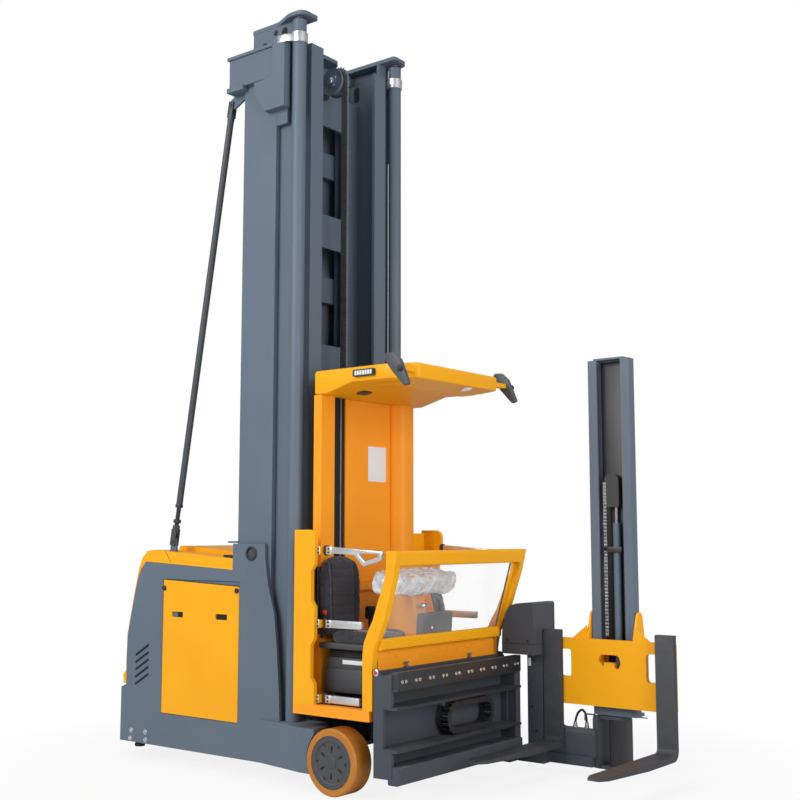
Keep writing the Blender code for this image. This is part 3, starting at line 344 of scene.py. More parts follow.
def finishes():
    made = {
        "yellow_paint": coated("yellow paint", (0.9, 0.405, 0.006), (0.86, 0.375, 0.005),
                               0.42, 260.0, 0.05, 0.1, Specular_IOR_Level=0.25),
        # Painted shade: the yellow paint again, deeper orange, for the cab's inward and
        # shaded pieces
        "painted_shade_yellow": coated("yellow paint with painted shade", (0.96, 0.35, 0.016),
                              (0.92, 0.32, 0.014), 0.45, 260.0, 0.05, 0.1,
                              Specular_IOR_Level=0.25),
        # Darker slate: own paint of the turret and traverse frame; on the tie rods it is
        # painted shade over their slate
        "dark_slate": coated("dark slate paint", (0.062, 0.072, 0.086),
                             (0.052, 0.061, 0.074), 0.46, 420.0, 0.12, 0.22,
                             Specular_IOR_Level=0.35),
        "chain_steel": metal("chain steel", (0.36, 0.37, 0.39), (0.16, 0.16, 0.17), 0.38,
                             0.9, (1, 1, 1), 120.0),
        "slate_paint": coated("slate paint", (0.118, 0.152, 0.196), (0.106, 0.138, 0.18),
                              0.48, 420.0, 0.15, 0.22, Specular_IOR_Level=0.3),
        "black_steel": coated("black steel", (0.02, 0.021, 0.024), (0.028, 0.029, 0.032),
                              0.42, 300.0, 0.2, 0.2),
        "black_plastic": coated("black plastic", (0.016, 0.016, 0.018),
                                (0.022, 0.022, 0.024), 0.5, 900.0, 0.25, 0.35),
        "grey_plastic": coated("grey plastic", (0.06, 0.066, 0.074),
                               (0.05, 0.055, 0.062), 0.5, 700.0, 0.2, 0.3),
        "battery_case": coated("battery case", (0.07, 0.08, 0.1), (0.06, 0.07, 0.085),
                               0.6, 300.0, 0.4, 0.3),
        "amber_tyre": coated("amber tyre", (0.5, 0.19, 0.018), (0.43, 0.155, 0.013),
                             0.42, 160.0, 0.12, 0.25, 0.15, 5.0, Subsurface_Weight=0.15),
        "fork_steel": metal("blacked fork steel", (0.04, 0.043, 0.05),
                            (0.068, 0.071, 0.078), 0.5, 0.15, (1, 8, 1), 30.0, 0.5, 0.3),
        "aluminium": metal("aluminium", (0.8, 0.81, 0.82), (0.62, 0.63, 0.65), 0.34,
                           1.0, (14, 1, 1), 40.0),
        "bright_steel": metal("bright steel", (0.74, 0.75, 0.77), (0.5, 0.51, 0.53), 0.26,
                              1.0, (1, 1, 1), 90.0),
        "rubber": coated("rubber", (0.014, 0.014, 0.015), (0.022, 0.021, 0.021), 0.75,
                         500.0, 0.35, 0.4),
        # Near black for dark joints and seams, and as painted shade inside holes, slots and
        # eyes where no opening is cut
        "hole_shade_and_joint_black": coated("painted hole shade and joint black", (0.006, 0.006, 0.007), (0.01, 0.01, 0.011),
                            0.8, 200.0, 0.0, 0.1),
        "white_plate": coated("white plate", (0.83, 0.84, 0.85), (0.76, 0.77, 0.79), 0.35,
                              300.0, 0.1, 0.05),
        "red_button": coated("red button", (0.62, 0.03, 0.025), (0.55, 0.022, 0.02), 0.3,
                             300.0, 0.0, 0.1, Coat_Weight=0.4),
        "floor_mat": coated("floor mat", (0.022, 0.023, 0.025), (0.033, 0.033, 0.034), 0.8,
                            150.0, 0.4, 0.8, depth=0.001),
        "lens": coated("lamp lens", (0.86, 0.88, 0.9), (0.74, 0.77, 0.8), 0.18,
                       240.0, 0.0, 0.3, Coat_Weight=0.6),
        "grip_grey": coated("grip plastic", (0.07, 0.076, 0.085), (0.055, 0.06, 0.067),
                            0.48, 800.0, 0.1, 0.3),
    }
    cloth = new_material("seat cloth", {"Roughness": 0.88, "Sheen Weight": 0.35,
                                        "Sheen Roughness": 0.5})
    made["seat_cloth"] = with_group(*cloth, WEAVE, {
        "Thread": (0.05, 0.054, 0.078), "Gap": (0.016, 0.017, 0.026),
        "Threads": 240.0}, 0.5, 0.0006)
    made["clear_sheet"] = clear_sheet()
    made["film"] = wrap_film()
    return made


def clear_sheet():
    """Thin acrylic: nearly clear, with faint haze where hands touch it."""
    made, tree, shader = new_material("clear sheet", {
        "Roughness": 0.03, "IOR": 1.45, "Specular IOR Level": 0.5, "Alpha": 0.12})
    where = tree.nodes.new("ShaderNodeTexCoord").outputs["Object"]
    haze = ramp(tree, speckle(tree, where, 3.0, 5.0), 0.4, 0.8)
    colour = mixed(tree, haze, (0.86, 0.9, 0.92, 1), (0.93, 0.95, 0.96, 1))
    tree.links.new(colour, shader.inputs["Base Color"])
    tree.links.new(ramp(tree, haze, 0.0, 1.0, 0.07, 0.17), shader.inputs["Alpha"])
    return made


def wrap_film():
    """Crinkled wrapping film over the desk, greyer in the crinkles' hollows as painted
    shade.
    """
    made, tree, shader = new_material("wrapping film", {
        "Roughness": 0.2, "IOR": 1.45, "Coat Weight": 0.4, "Coat Roughness": 0.1})
    where = tree.nodes.new("ShaderNodeTexCoord").outputs["Object"]
    broad = add(tree, "ShaderNodeTexNoise", {"Vector": where, "Scale": 16.0,
                                             "Detail": 5.0, "Distortion": 1.4}).outputs[0]
    fine = speckle(tree, where, 70.0, 5.0)
    height = sums(tree, "ADD", broad, sums(tree, "MULTIPLY", fine, 0.4))
    # Painted shade: the colour runs from blue grey in the low folds to white on the crests
    colour = mixed(tree, ramp(tree, height, 0.5, 0.95), (0.52, 0.56, 0.6, 1),
                   (0.88, 0.9, 0.92, 1))
    tree.links.new(colour, shader.inputs["Base Color"])
    tree.links.new(ramp(tree, height, 0.5, 0.9, 0.92, 0.99), shader.inputs["Alpha"])
    bump = add(tree, "ShaderNodeBump", {"Height": height, "Strength": 0.6,
                                        "Distance": 0.012})
    tree.links.new(bump.outputs[0], shader.inputs["Normal"])
    return made


FINISH = finishes()


# Shapes

def arc(centre, radius, start, end, steps=6):
    """Points on an arc between two angles in degrees."""
    points = []
    for step in range(steps + 1):
        angle = math.radians(start + (end - start) * step / steps)
        points.append((centre[0] + radius * math.cos(angle),
                       centre[1] + radius * math.sin(angle)))
    return points


def rounded(corners, steps=5):
    """Outline through (x, y, radius) corners, each rounded by its radius."""
    points = []
    count = len(corners)
    for index, (x, y, radius) in enumerate(corners):
        here = Vector((x, y))
        before = (Vector(corners[index - 1][:2]) - here).normalized()
        after = (Vector(corners[(index + 1) % count][:2]) - here).normalized()
        if radius <= 0:
            points.append((x, y))
            continue
        half = before.angle(after) / 2
        first = here + before * (radius / math.tan(half))
        last = here + after * (radius / math.tan(half))
        centre = here + (before + after).normalized() * (radius / math.sin(half))
        spoke = first - centre
        turn = spoke.angle_signed(last - centre)
        for step in range(steps + 1):
            arm = spoke.copy()
            arm.rotate(Matrix.Rotation(-turn * step / steps, 2))
            points.append(tuple(centre + arm))
    return points


def oblong(x0, y0, x1, y1, radius, steps=5):
    return rounded([(x0, y0, radius), (x1, y0, radius),
                    (x1, y1, radius), (x0, y1, radius)], steps)


def along(axis, a, b, t):
    """Point with in-plane coordinates a, b and place t on the axis."""
    if axis == "X":
        return (t, a, b)
    if axis == "Y":
        return (a, t, b)
    return (a, b, t)


def placed(name, data):
    """New object of the data, in the scene."""
    item = bpy.data.objects.new(name, data)
    bpy.context.scene.collection.objects.link(item)
    return item


def mesh_object(name, verts, faces):
    mesh = bpy.data.meshes.new(name)
    mesh.from_pydata(verts, [], faces)
    mesh.validate()
    mesh.update()
    return placed(name, mesh)


def baked(item):
    """Mesh that the object's modifiers make."""
    bpy.context.view_layer.update()
    graph = bpy.context.evaluated_depsgraph_get()
    return bpy.data.meshes.new_from_object(item.evaluated_get(graph), depsgraph=graph)


def apply_modifiers(item):
    mesh = baked(item)
    item.modifiers.clear()
    item.data = mesh


def area(outline):
    total = 0.0
    for (ax, ay), (bx, by) in zip(outline, outline[1:] + outline[:1]):
        total += ax * by - bx * ay
    return total / 2


def extrusion(axis, outline, low, high):
    """Prism of an outline. For X it is (y, z), for Y (x, z), for Z (x, y)."""
    outline = list(outline)
    flip = -1 if axis == "Y" else 1
    if area(outline) * flip < 0:
        outline.reverse()
    count = len(outline)
    verts = [along(axis, a, b, low) for a, b in outline]
    verts += [along(axis, a, b, high) for a, b in outline]
    faces = [list(range(count - 1, -1, -1)), list(range(count, 2 * count))]
    for index in range(count):
        after = (index + 1) % count
        faces.append([index, after, count + after, count + index])
    return mesh_object("prism", verts, faces)


def block(x0, x1, y0, y1, z0, z1):
    return extrusion("Z", [(x0, y0), (x1, y0), (x1, y1), (x0, y1)], z0, z1)


def side_block(side, x0, x1, y0, y1, z0, z1):
    """Block whose y range is measured outwards from the centre line."""
    low, high = sorted((side * y0, side * y1))
    return block(x0, x1, low, high, z0, z1)


def side_extrusion(side, outline, y0, y1):
    """Prism of an (x, z) outline, its y range measured outwards."""
    return extrusion("Y", outline, *sorted((side * y0, side * y1)))


def cylinder(axis, a, b, radius, low, high, sides=24):
    outline = arc((a, b), radius, -90, 270, sides)[:-1]
    return extrusion(axis, outline, low, high)


def turned(axis, a, b, profile, sides=24):
    """Closed ring or disc from (radius, place) points round an axis."""
    verts = []
    rings = []
    for radius, place in profile:
        if radius < 1e-6:
            rings.append([len(verts)])
            verts.append(along(axis, a, b, place))
            continue
        ring = []
        for p, q in arc((a, b), radius, -90, 270, sides)[:-1]:
            ring.append(len(verts))
            verts.append(along(axis, p, q, place))
        rings.append(ring)
    faces = []
    for ring, following in zip(rings, rings[1:] + rings[:1]):
        for index in range(sides):
            after = (index + 1) % sides
            if len(ring) == 1 and len(following) == 1:
                continue
            if len(ring) == 1:
                faces.append([ring[0], following[after], following[index]])
            elif len(following) == 1:
                faces.append([ring[index], ring[after], following[0]])
            else:
                faces.append([ring[index], ring[after],
                              following[after], following[index]])
    item = mesh_object("turned", verts, faces)
    outwards(item)
    return item


def round_bar(start, end, radius, sides=16):
    """Round bar between two points."""
    start = Vector(start)
    end = Vector(end)
    item = cylinder("Z", 0, 0, radius, 0, (end - start).length, sides)
    turn = (end - start).to_track_quat("Z", "Y").to_matrix().to_4x4()
    item.data.transform(Matrix.Translation(start) @ turn)
    return item


def outwards(item):
    mesh = bmesh.new()
    mesh.from_mesh(item.data)
    bmesh.ops.remove_doubles(mesh, verts=mesh.verts, dist=1e-6)
    bmesh.ops.recalc_face_normals(mesh, faces=mesh.faces)
    mesh.to_mesh(item.data)
    mesh.free()


def combine(base, tools, operation):
    """Unite the base with, or cut it by, every tool, and drop the tools."""
    if not tools:
        return base
    group = bpy.data.collections.new("tools")
    bpy.context.scene.collection.children.link(group)
    for tool in tools:
        group.objects.link(tool)
    modifier = base.modifiers.new("shape", "BOOLEAN")
    modifier.operation = operation
    modifier.operand_type = "COLLECTION"
    modifier.collection = group
    modifier.solver = "EXACT"
    apply_modifiers(base)
    for tool in tools:
        bpy.data.objects.remove(tool, do_unlink=True)
    bpy.data.collections.remove(group)
    return base


def soften(item, width):
    """Chamfer the sharp edges of a solid for good."""
    edge = item.modifiers.new("edge", "BEVEL")
    edge.width = width
    edge.segments = 2
    edge.limit_method = "ANGLE"
    edge.angle_limit = math.radians(50)
    apply_modifiers(item)


def fuse(base, *tools):
    return combine(base, tools, "UNION")


def cut(base, *tools):
    return combine(base, tools, "DIFFERENCE")


def form(name, item, body, slot, bevel=0.0, finish=None):
    """Show a rigid form in the place of the CAD solid of that name."""
    if bevel:
        soften(item, bevel)
    outwards(item)
    item.data.transform(Matrix.Translation(SHIFT))
    item.name = name + "_form"
    settle(item, body, finish or slot, 40)
    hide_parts(name)
    return item


class Form:
    """Mesh of one piece, gathered solid by solid."""

    def __init__(self):
        self.mesh = bmesh.new()

    def solid(self, verts, faces, edge=0.0, steps=2):
        """Closed solid, its sharp edges rounded off by the edge's width."""
        made = [self.mesh.verts.new(place) for place in verts]
        sheets = [self.mesh.faces.new([made[index] for index in loop]) for loop in faces]
        bmesh.ops.recalc_face_normals(self.mesh, faces=sheets)
        if edge:
            edges = dict.fromkeys(side for sheet in sheets for side in sheet.edges)
            sharp = [side for side in edges if side.calc_face_angle(0.0) > 0.7]
            bmesh.ops.bevel(self.mesh, geom=sharp, offset=edge, segments=steps,
                            affect="EDGES", profile=0.5, clamp_overlap=True)

    def prism(self, axis, outline, low, high, edge=0.0, steps=2):
        """Prism of an outline. For X it is (y, z), for Y (x, z), for Z (x, y)."""
        count = len(outline)
        low, high = sorted((low, high))
        verts = [along(axis, a, b, low) for a, b in outline]
        verts += [along(axis, a, b, high) for a, b in outline]
        faces = [list(range(count - 1, -1, -1)), list(range(count, 2 * count))]
        for index in range(count):
            after = (index + 1) % count
            faces.append([index, after, count + after, count + index])
        self.solid(verts, faces, edge, steps)
        return self

    def slab(self, x0, x1, y0, y1, z0, z1, edge=0.002):
        return self.prism("Z", [(x0, y0), (x1, y0), (x1, y1), (x0, y1)], z0, z1, edge)

    def turned(self, base, axis, profile, sides=24):
        """Solid of (radius, height) points spun round an axis at the base."""
        turn = Vector(axis).to_track_quat("Z", "Y").to_matrix()
        rings, verts, faces = [], [], []
        for radius, height in profile:
            count = 1 if radius < 1e-6 else sides
            rings.append(range(len(verts), len(verts) + count))
            for index in range(count):
                angle = 2 * math.pi * index / sides
                spot = Vector((radius * math.cos(angle), radius * math.sin(angle), height))
                verts.append(Vector(base) + turn @ spot)
        for ring, other in zip(rings, rings[1:]):
            for index in range(sides):
                after = (index + 1) % sides
                loop = [ring[index % len(ring)], ring[after % len(ring)],
                        other[after % len(other)], other[index % len(other)]]
                loop = list(dict.fromkeys(loop))
                if len(loop) > 2:
                    faces.append(loop)
        for ring in (rings[0], rings[-1]):
            if len(ring) > 1:
                faces.append(list(ring))
        self.solid(verts, faces)
        return self

    def pipe(self, path, radius, sides=12):
        """Round bar or hose along a path."""
        path = [Vector(place) for place in path]
        verts, faces = [], []
        side = None
        for index, place in enumerate(path):
            ahead = path[min(index + 1, len(path) - 1)] - path[max(index - 1, 0)]
            ahead.normalize()
            side = side - ahead * side.dot(ahead) if side else ahead.orthogonal()
            side.normalize()
            other = ahead.cross(side)
            for step in range(sides):
                angle = 2 * math.pi * step / sides
                verts.append(place + side * radius * math.cos(angle)
                             + other * radius * math.sin(angle))
        for ring in range(len(path) - 1):
            for step in range(sides):
                after = (step + 1) % sides
                faces.append([ring * sides + step, ring * sides + after,
                              (ring + 1) * sides + after, (ring + 1) * sides + step])
        faces.append(list(range(sides)))
        faces.append(list(range((len(path) - 1) * sides, len(path) * sides)))
        self.solid(verts, faces)
        return self

    def loose(self, name):
        """The mesh as an object that isn't yet a piece of the truck."""
        mesh = bpy.data.meshes.new(name)
        self.mesh.to_mesh(mesh)
        self.mesh.free()
        return placed(name, mesh)

    def piece(self, name, body, slot, finish=None):
        """Show the form, with the slot's own finish unless another is named."""
        self.mesh.transform(Matrix.Translation(SHIFT))
        return settle(self.loose(name), body, finish or slot)


def settle(item, body, finish, smooth=35):
    """Finish a piece that is in place: shading, material and body."""
    item.data.shade_smooth()
    item.data.set_sharp_from_angle(angle=math.radians(smooth))
    item.data.materials.clear()
    item.data.materials.append(FINISH[finish])
    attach(item, body)
    return item


def spline(points, steps=6):
    """Smooth path through points."""
    points = [Vector(place) for place in points]
    ends = [points[0] * 2 - points[1]] + points + [points[-1] * 2 - points[-2]]
    path = []
    for index in range(1, len(ends) - 2):
        a, b, c, d = ends[index - 1:index + 3]
        for step in range(steps):
            t = step / steps
            path.append(0.5 * (2 * b + (c - a) * t + (2 * a - 5 * b + 4 * c - d) * t * t
                               + (3 * b - a - 3 * c + d) * t ** 3))
    path.append(points[-1])
    return path


# Geometry trees for what repeats

def geometry_tree(name, inputs):
    tree = bpy.data.node_groups.new(name, "GeometryNodeTree")
    tree.interface.new_socket("Geometry", in_out="INPUT",
                              socket_type="NodeSocketGeometry")
    for label, kind in inputs:
        tree.interface.new_socket(label, in_out="INPUT", socket_type="NodeSocket" + kind)
    tree.interface.new_socket("Geometry", in_out="OUTPUT",
                              socket_type="NodeSocketGeometry")
    given = tree.nodes.new("NodeGroupInput").outputs
    return tree, given


def copies(tree, given, points, turn, **more):
    """The part of the tree, once on every point."""
    part = add(tree, "GeometryNodeObjectInfo", {"Object": given["Part"]})
    return add(tree, "GeometryNodeInstanceOnPoints", {
        "Points": points, "Instance": part.outputs["Geometry"],
        "Rotation": turn, **more}).outputs[0]


def close_tree(tree, instances):
    real = add(tree, "GeometryNodeRealizeInstances", {0: instances})
    end = tree.nodes.new("NodeGroupOutput")
    tree.links.new(real.outputs[0], end.inputs[0])
    return tree


def scatter_tree():
    """One part on every point, all facing one way, each rolled by chance."""
    tree, given = geometry_tree("parts on points", [
        ("Part", "Object"), ("Facing", "Vector"), ("Roll", "Float"),
        ("Roll Spread", "Float"), ("Size", "Float"), ("Seed", "Int")])
    chance = add(tree, "FunctionNodeRandomValue",
                 {2: 0.0, 3: given["Roll Spread"], "Seed": given["Seed"]},
                 data_type="FLOAT").outputs[1]
    roll = add(tree, "ShaderNodeMath", {0: given["Roll"], 1: chance}, operation="ADD")
    spin = add(tree, "ShaderNodeCombineXYZ", {2: roll.outputs[0]})
    facing = add(tree, "FunctionNodeEulerToRotation", {0: given["Facing"]})
    local = add(tree, "FunctionNodeEulerToRotation", {0: spin.outputs[0]})
    turn = add(tree, "FunctionNodeRotateRotation",
               {0: facing.outputs[0], 1: local.outputs[0]}, rotation_space="LOCAL")
    size = add(tree, "ShaderNodeCombineXYZ",
               {0: given["Size"], 1: given["Size"], 2: given["Size"]})
    return close_tree(tree, copies(tree, given, given["Geometry"], turn.outputs[0],
                                   Scale=size.outputs[0]))


def round_tree():
    """A count of one part round an axle, each turned with its angle."""
    tree, given = geometry_tree("parts round an axle", [
        ("Part", "Object"), ("Count", "Int"), ("Radius", "Float"),
        ("First Angle", "Float"), ("Facing", "Vector"), ("Centre", "Vector")])
    ring = add(tree, "GeometryNodeMeshCircle",
               {"Vertices": given["Count"], "Radius": given["Radius"]})
    number = tree.nodes.new("GeometryNodeInputIndex").outputs[0]
    share = add(tree, "ShaderNodeMath", {0: number, 1: given["Count"]},
                operation="DIVIDE").outputs[0]
    angle = add(tree, "ShaderNodeMath", {0: share, 1: 2 * math.pi},
                operation="MULTIPLY").outputs[0]
    spin = add(tree, "ShaderNodeCombineXYZ", {2: angle})
    spokes = copies(tree, given, ring.outputs[0], spin.outputs[0])
    first = add(tree, "ShaderNodeCombineXYZ", {2: given["First Angle"]})
    started = add(tree, "GeometryNodeTransform",
                  {"Geometry": spokes, "Rotation": first.outputs[0]})
    faced = add(tree, "GeometryNodeTransform", {
        "Geometry": started.outputs[0], "Translation": given["Centre"],
        "Rotation": given["Facing"]})
    return close_tree(tree, faced.outputs[0])


def chain_tree():
    """Links one pitch apart along a path, each in line with it."""
    tree, given = geometry_tree("links along a path", [
        ("Part", "Object"), ("Pitch", "Float")])
    path = add(tree, "GeometryNodeMeshToCurve", {0: given["Geometry"]})
    points = add(tree, "GeometryNodeCurveToPoints",
                 {"Curve": path.outputs[0], "Length": given["Pitch"]}, mode="LENGTH")
    upright = add(tree, "FunctionNodeAlignRotationToVector",
                  {"Vector": points.outputs["Tangent"]}, axis="Z", pivot_axis="X")
    return close_tree(tree, copies(tree, given, points.outputs[0], upright.outputs[0]))


SCATTER = scatter_tree()
ROUND = round_tree()
CHAIN = chain_tree()


def grown(tree, base, values):
    """Mesh that a tree makes from a base object; the base is then dropped."""
    modifier = base.modifiers.new("grow", "NODES")
    modifier.node_group = tree
    for socket in tree.interface.items_tree:
        if socket.item_type == "SOCKET" and socket.name in values:
            modifier[socket.identifier] = values[socket.name]
    base.update_tag()
    mesh = baked(base)
    bpy.data.objects.remove(base, do_unlink=True)
    return mesh


def seed_points(places, edges=()):
    mesh = bpy.data.meshes.new("seed")
    mesh.from_pydata([Vector(place) for place in places], list(edges), [])
    return placed("seed", mesh)


def facing(direction):
    """Angles that turn a part's +Z to a direction, with its +Y kept upwards."""
    z = Vector(direction).normalized()
    up = Vector((0, 0, 1)) if abs(z.z) < 0.9 else Vector((0, 1, 0))
    x = up.cross(z).normalized()
    y = z.cross(x)
    return tuple(Matrix((x, y, z)).transposed().to_euler())


def gather(name, body, finish, meshes):
    """Join meshes made by the trees into one piece."""
    joined = bmesh.new()
    for mesh in meshes:
        joined.from_mesh(mesh)
        bpy.data.meshes.remove(mesh)
    joined.transform(Matrix.Translation(SHIFT))
    mesh = bpy.data.meshes.new(name)
    joined.to_mesh(mesh)
    joined.free()
    return settle(placed(name, mesh), body, finish)


def on_points(part, places, direction, size=1.0, roll=0.0, spread=0.0):
    """Small parts on points; settle() gives them their finish."""
    return grown(SCATTER, seed_points(places), {
        "Part": PART[part], "Facing": facing(direction), "Roll": roll,
        "Roll Spread": spread, "Size": size, "Seed": 3})


def round_axle(part, centre, direction, count, radius, first=0.0):
    return grown(ROUND, seed_points([centre]), {
        "Part": PART[part], "Count": count, "Radius": radius, "First Angle": first,
        "Facing": facing(direction), "Centre": tuple(centre)})


def on_path(part, places, pitch, closed=False):
    """Links along a path of points."""
    count = len(places)
    edges = [(index, index + 1) for index in range(count - 1)]
    if closed:
        edges.append((count - 1, 0))
    return grown(CHAIN, seed_points(places, edges), {
        "Part": PART[part], "Pitch": pitch})


def templates():
    """Small parts, one unit across unless a size in metres suits them better."""
    hexagon = [(math.cos(math.radians(60 * k)), math.sin(math.radians(60 * k)))
               for k in range(6)]
    bolt = Form().turned((0, 0, 0), UP, [(0.0, 0.0), (1.45, 0.0), (1.45, 0.14),
                                         (1.35, 0.2), (0.0, 0.2)], 20)
    bolt.prism("Z", hexagon, 0.15, 0.8, 0.08, 1)
    socket = Form().turned((0, 0, 0), UP, [(0.0, 0.0), (1.0, 0.0), (1.0, 0.55),
                                           (0.9, 0.65), (0.55, 0.65), (0.5, 0.3),
                                           (0.0, 0.3)], 18)
    rivet = Form().turned((0, 0, 0), UP, [(0.0, 0.0), (1.0, 0.0), (0.92, 0.22),
                                          (0.7, 0.42), (0.36, 0.54), (0.0, 0.58)], 14)
    knob = Form().turned((0, 0, 0), UP, [(0.0, 0.0), (0.9, 0.0), (1.0, 0.15),
                                         (1.0, 0.55), (0.85, 0.72), (0.0, 0.76)], 20)
    slot = Form().prism("Z", oblong(-0.078, -0.0085, 0.078, 0.0085, 0.008), -0.004, 0.0006)
    lip = Form()
    outer = oblong(-0.082, -0.0125, 0.082, 0.0125, 0.012)
    inner = oblong(-0.078, -0.0085, 0.078, 0.0085, 0.008)
    ring(lip, outer, inner, -0.002, 0.0012)
    tear = []
    for k in range(20):
        angle = 2 * math.pi * k / 20
        reach = 0.5 + 0.5 * math.cos(angle)
        tear.append((0.022 * math.cos(angle),
                     0.004 * math.sin(angle) * (0.9 + 1.6 * reach)))
    drop = Form().prism("Z", tear, -0.003, 0.0006)
    leaf = Form()
    for index, x in enumerate((-0.022, -0.011, 0.0, 0.011, 0.022)):
        shift = 0.0 if index % 2 else 0.5
        plate = oblong(-0.0075, -0.017 + shift * 0.008, 0.0075,
                       0.015 + shift * 0.008, 0.007, 2)
        leaf.prism("X", plate, x - 0.0035, x + 0.0035)
    leaf.turned((-0.029, 0.0, 0.008), FRONT, [(0.0, 0.0), (0.0045, 0.0), (0.0045, 0.058),
                                              (0.0, 0.058)], 8)
    small = Form()
    for x in (-0.0075, 0.0, 0.0075):
        small.prism("X", oblong(-0.006, -0.0125, 0.006, 0.0125, 0.0055, 2),
                    x - 0.0022, x + 0.0022)
    small.turned((-0.0115, 0.0, 0.006), FRONT, [(0.0, 0.0), (0.003, 0.0), (0.003, 0.023),
                                                (0.0, 0.023)], 6)
    carrier = Form()
    for x in (-0.034, 0.034):
        carrier.prism("X", oblong(-0.0185, -0.0135, 0.0185, 0.015, 0.006, 2),
                      x - 0.0025, x + 0.0025)
    for y in (-0.0165, 0.0165):
        carrier.prism("Z", [(-0.033, y - 0.0018), (0.033, y - 0.0018),
                            (0.033, y + 0.0018), (-0.033, y + 0.0018)],
                      -0.0085, 0.0085, 0.001, 1)
    made = {"bolt": bolt, "socket": socket, "rivet": rivet, "knob": knob, "slot": slot,
            "lip": lip, "drop": drop, "leaf": leaf, "small": small, "carrier": carrier}
    return {name: form.loose("template_" + name) for name, form in made.items()}


def ring(form, outer, inner, low, high):
    """Upright ring between two outlines of equal count."""
    count = len(outer)
    verts = [(a, b, level) for level in (low, high) for a, b in outer + inner]
    faces = []
    for k in range(count):
        n = (k + 1) % count
        faces.append([k, n, count + n, count + k])
        faces.append([2 * count + k, 3 * count + k, 3 * count + n, 2 * count + n])
        faces.append([k, 2 * count + k, 2 * count + n, n])
        faces.append([count + k, count + n, 3 * count + n, 3 * count + k])
    form.solid(verts, faces)
    return form


PART = templates()


# CAD nodes keep their shape and get the finishes above

def dress_nodes():
    slots = {entry["node"]: entry["material_slot"] for entry in frame["record"]["subparts"]}
    for name, item in NODES.items():
        item.data.materials.clear()
        item.data.materials.append(FINISH[slots[name]])


# Rigid forms that stand in for the plainer CAD solids

def body_outline():
    """Side view of the tail, in (x, z)."""
    return [(REAR_X, BODY_Z), (REAR_X, 0.455), (-1.945, 0.475), (-1.949, 0.64),
            (-1.944, 0.79), (-1.913, 0.936), (-1.858, 1.165), (-1.821, 1.254),
            (-1.768, BODY_TOP_REAR), (-0.915, BODY_TOP_FRONT), (-0.915, BODY_Z)]


def cheek_outline():
    """Plate beside the mast foot with its curved front edge, in (x, z)."""
    return [(-0.93, BODY_Z),
            (-0.5, BODY_Z),
            (-0.5, 0.3),
            (-0.512, 0.52),
            (-0.535, 0.8),
            (-0.56, 1.0),
            (-0.615, 1.18),
            (-0.64, 1.33),
            (-0.645, 1.43),
            (-0.93, 1.43)]


def chassis_frame(body):
    frame = extrusion("Y", body_outline(), -BODY_Y, BODY_Y)
    tools = []
    for _, side in SIDES:
        tools.append(side_extrusion(side, cheek_outline(), OUTER_Y + 0.003, BODY_Y))
        leg = [(-0.93, 0.508), (-0.93, BODY_Y), (-0.7, BODY_Y),
               (-0.42, 0.61), (-0.262, 0.64), (-0.155, 0.64),
               (-0.155, ARM_OUT_Y), (-0.26, ARM_OUT_Y), (-0.26, ARM_IN_Y),
               (-0.5, ARM_IN_Y), (-0.5, 0.508)]
        leg = [(x, side * y) for x, y in leg]
        leg = extrusion("Z", leg, BODY_Z + 0.002, LEG_TOP)
        low, high = sorted((side * (ARM_OUT_Y + 0.001), side * 0.7))
        cut(leg, cylinder("Y", 0.0, WHEEL_R, 0.207, low, high, WHEEL_SIDES))
        tools.append(leg)
        arm = [(-0.3, WHEEL_R - ARM_HALF_H), (-0.3, WHEEL_R + ARM_HALF_H)]
        arm += arc((0.0, WHEEL_R), ARM_HALF_H, 90, -90, 10)
        tools.append(side_extrusion(side, arm, ARM_IN_Y, ARM_OUT_Y))
        low, high = sorted((side * (ARM_OUT_Y - 0.02), side * 0.63))
        tools.append(cylinder("Y", 0.0, WHEEL_R, STUB_R, low, high))
        lug = rounded([(-1.605, 1.25, 0), (-1.515, 1.25, 0),
                       (-1.535, 1.468, 0.02), (-1.575, 1.468, 0.02)])
        tools.append(side_extrusion(side, lug, TIE_Y - 0.008, TIE_Y + 0.008))
    tools.append(block(-0.93, -0.52, -0.52, 0.52, BODY_Z + 0.004,
                       MAST_Z - 0.002))
    fuse(frame, *tools)
    cuts = [block(BAY_X0, BAY_X1, -0.6, 0.6, BAY_Z0, BAY_Z1),
            extrusion("Y", [(-1.97, 0.0), (-1.475, 0.0), (-1.475, 1.22),
                            (-1.8, 1.22), (-1.865, 1.0), (-1.915, 0.75),
                            (-1.92, 0.45), (-1.97, 0.42)],
                      -0.48, 0.48),
            extrusion("Y", [(-2.1, 0.478), (-1.922, 0.478), (-1.922, 0.79),
                            (-1.891, 0.936), (-1.836, 1.165), (-1.763, 1.312),
                            (-2.1, 1.312)], -0.552, 0.552),
            block(-1.4, -1.0, -0.3, 0.3, 1.1, 1.35)]
    for _, side in SIDES:
        cuts.append(side_block(side, PANEL_X0 - 0.004, PANEL_X1 + 0.004,
                               BODY_Y - SKIN, BODY_Y + 0.01,
                               PANEL_Z0 - 0.004, PANEL_Z1 + 0.004))
        cuts.append(cylinder("Y", TIE_FOOT[0], TIE_FOOT[1], 0.0105,
                             side * TIE_Y - 0.05, side * TIE_Y + 0.05))
    cut(frame, *cuts)
    form("chassis_frame", frame, body, "slate_paint")


def hood_outline():
    """Side view of the hood with the skirt that wraps the tail, in (x, z)."""
    return [(-1.9223, 0.4785), (-1.982, 0.4785), (-1.99, 0.54), (-1.95, 0.575),
            (-1.956, 0.81), (-1.902, 1.05), (-1.852, 1.258), (-1.815, 1.335),
            (-1.765, 1.375), (-1.7, HOOD_REAR_Z), (HOOD_X1, HOOD_FRONT_Z),
            (HOOD_X1, BODY_TOP_FRONT + 0.001 + GAP),
            (-1.767, BODY_TOP_REAR + 2 * GAP), (-1.8363, 1.1653), (-1.8913, 0.9363),
            (-1.9223, 0.7903)]


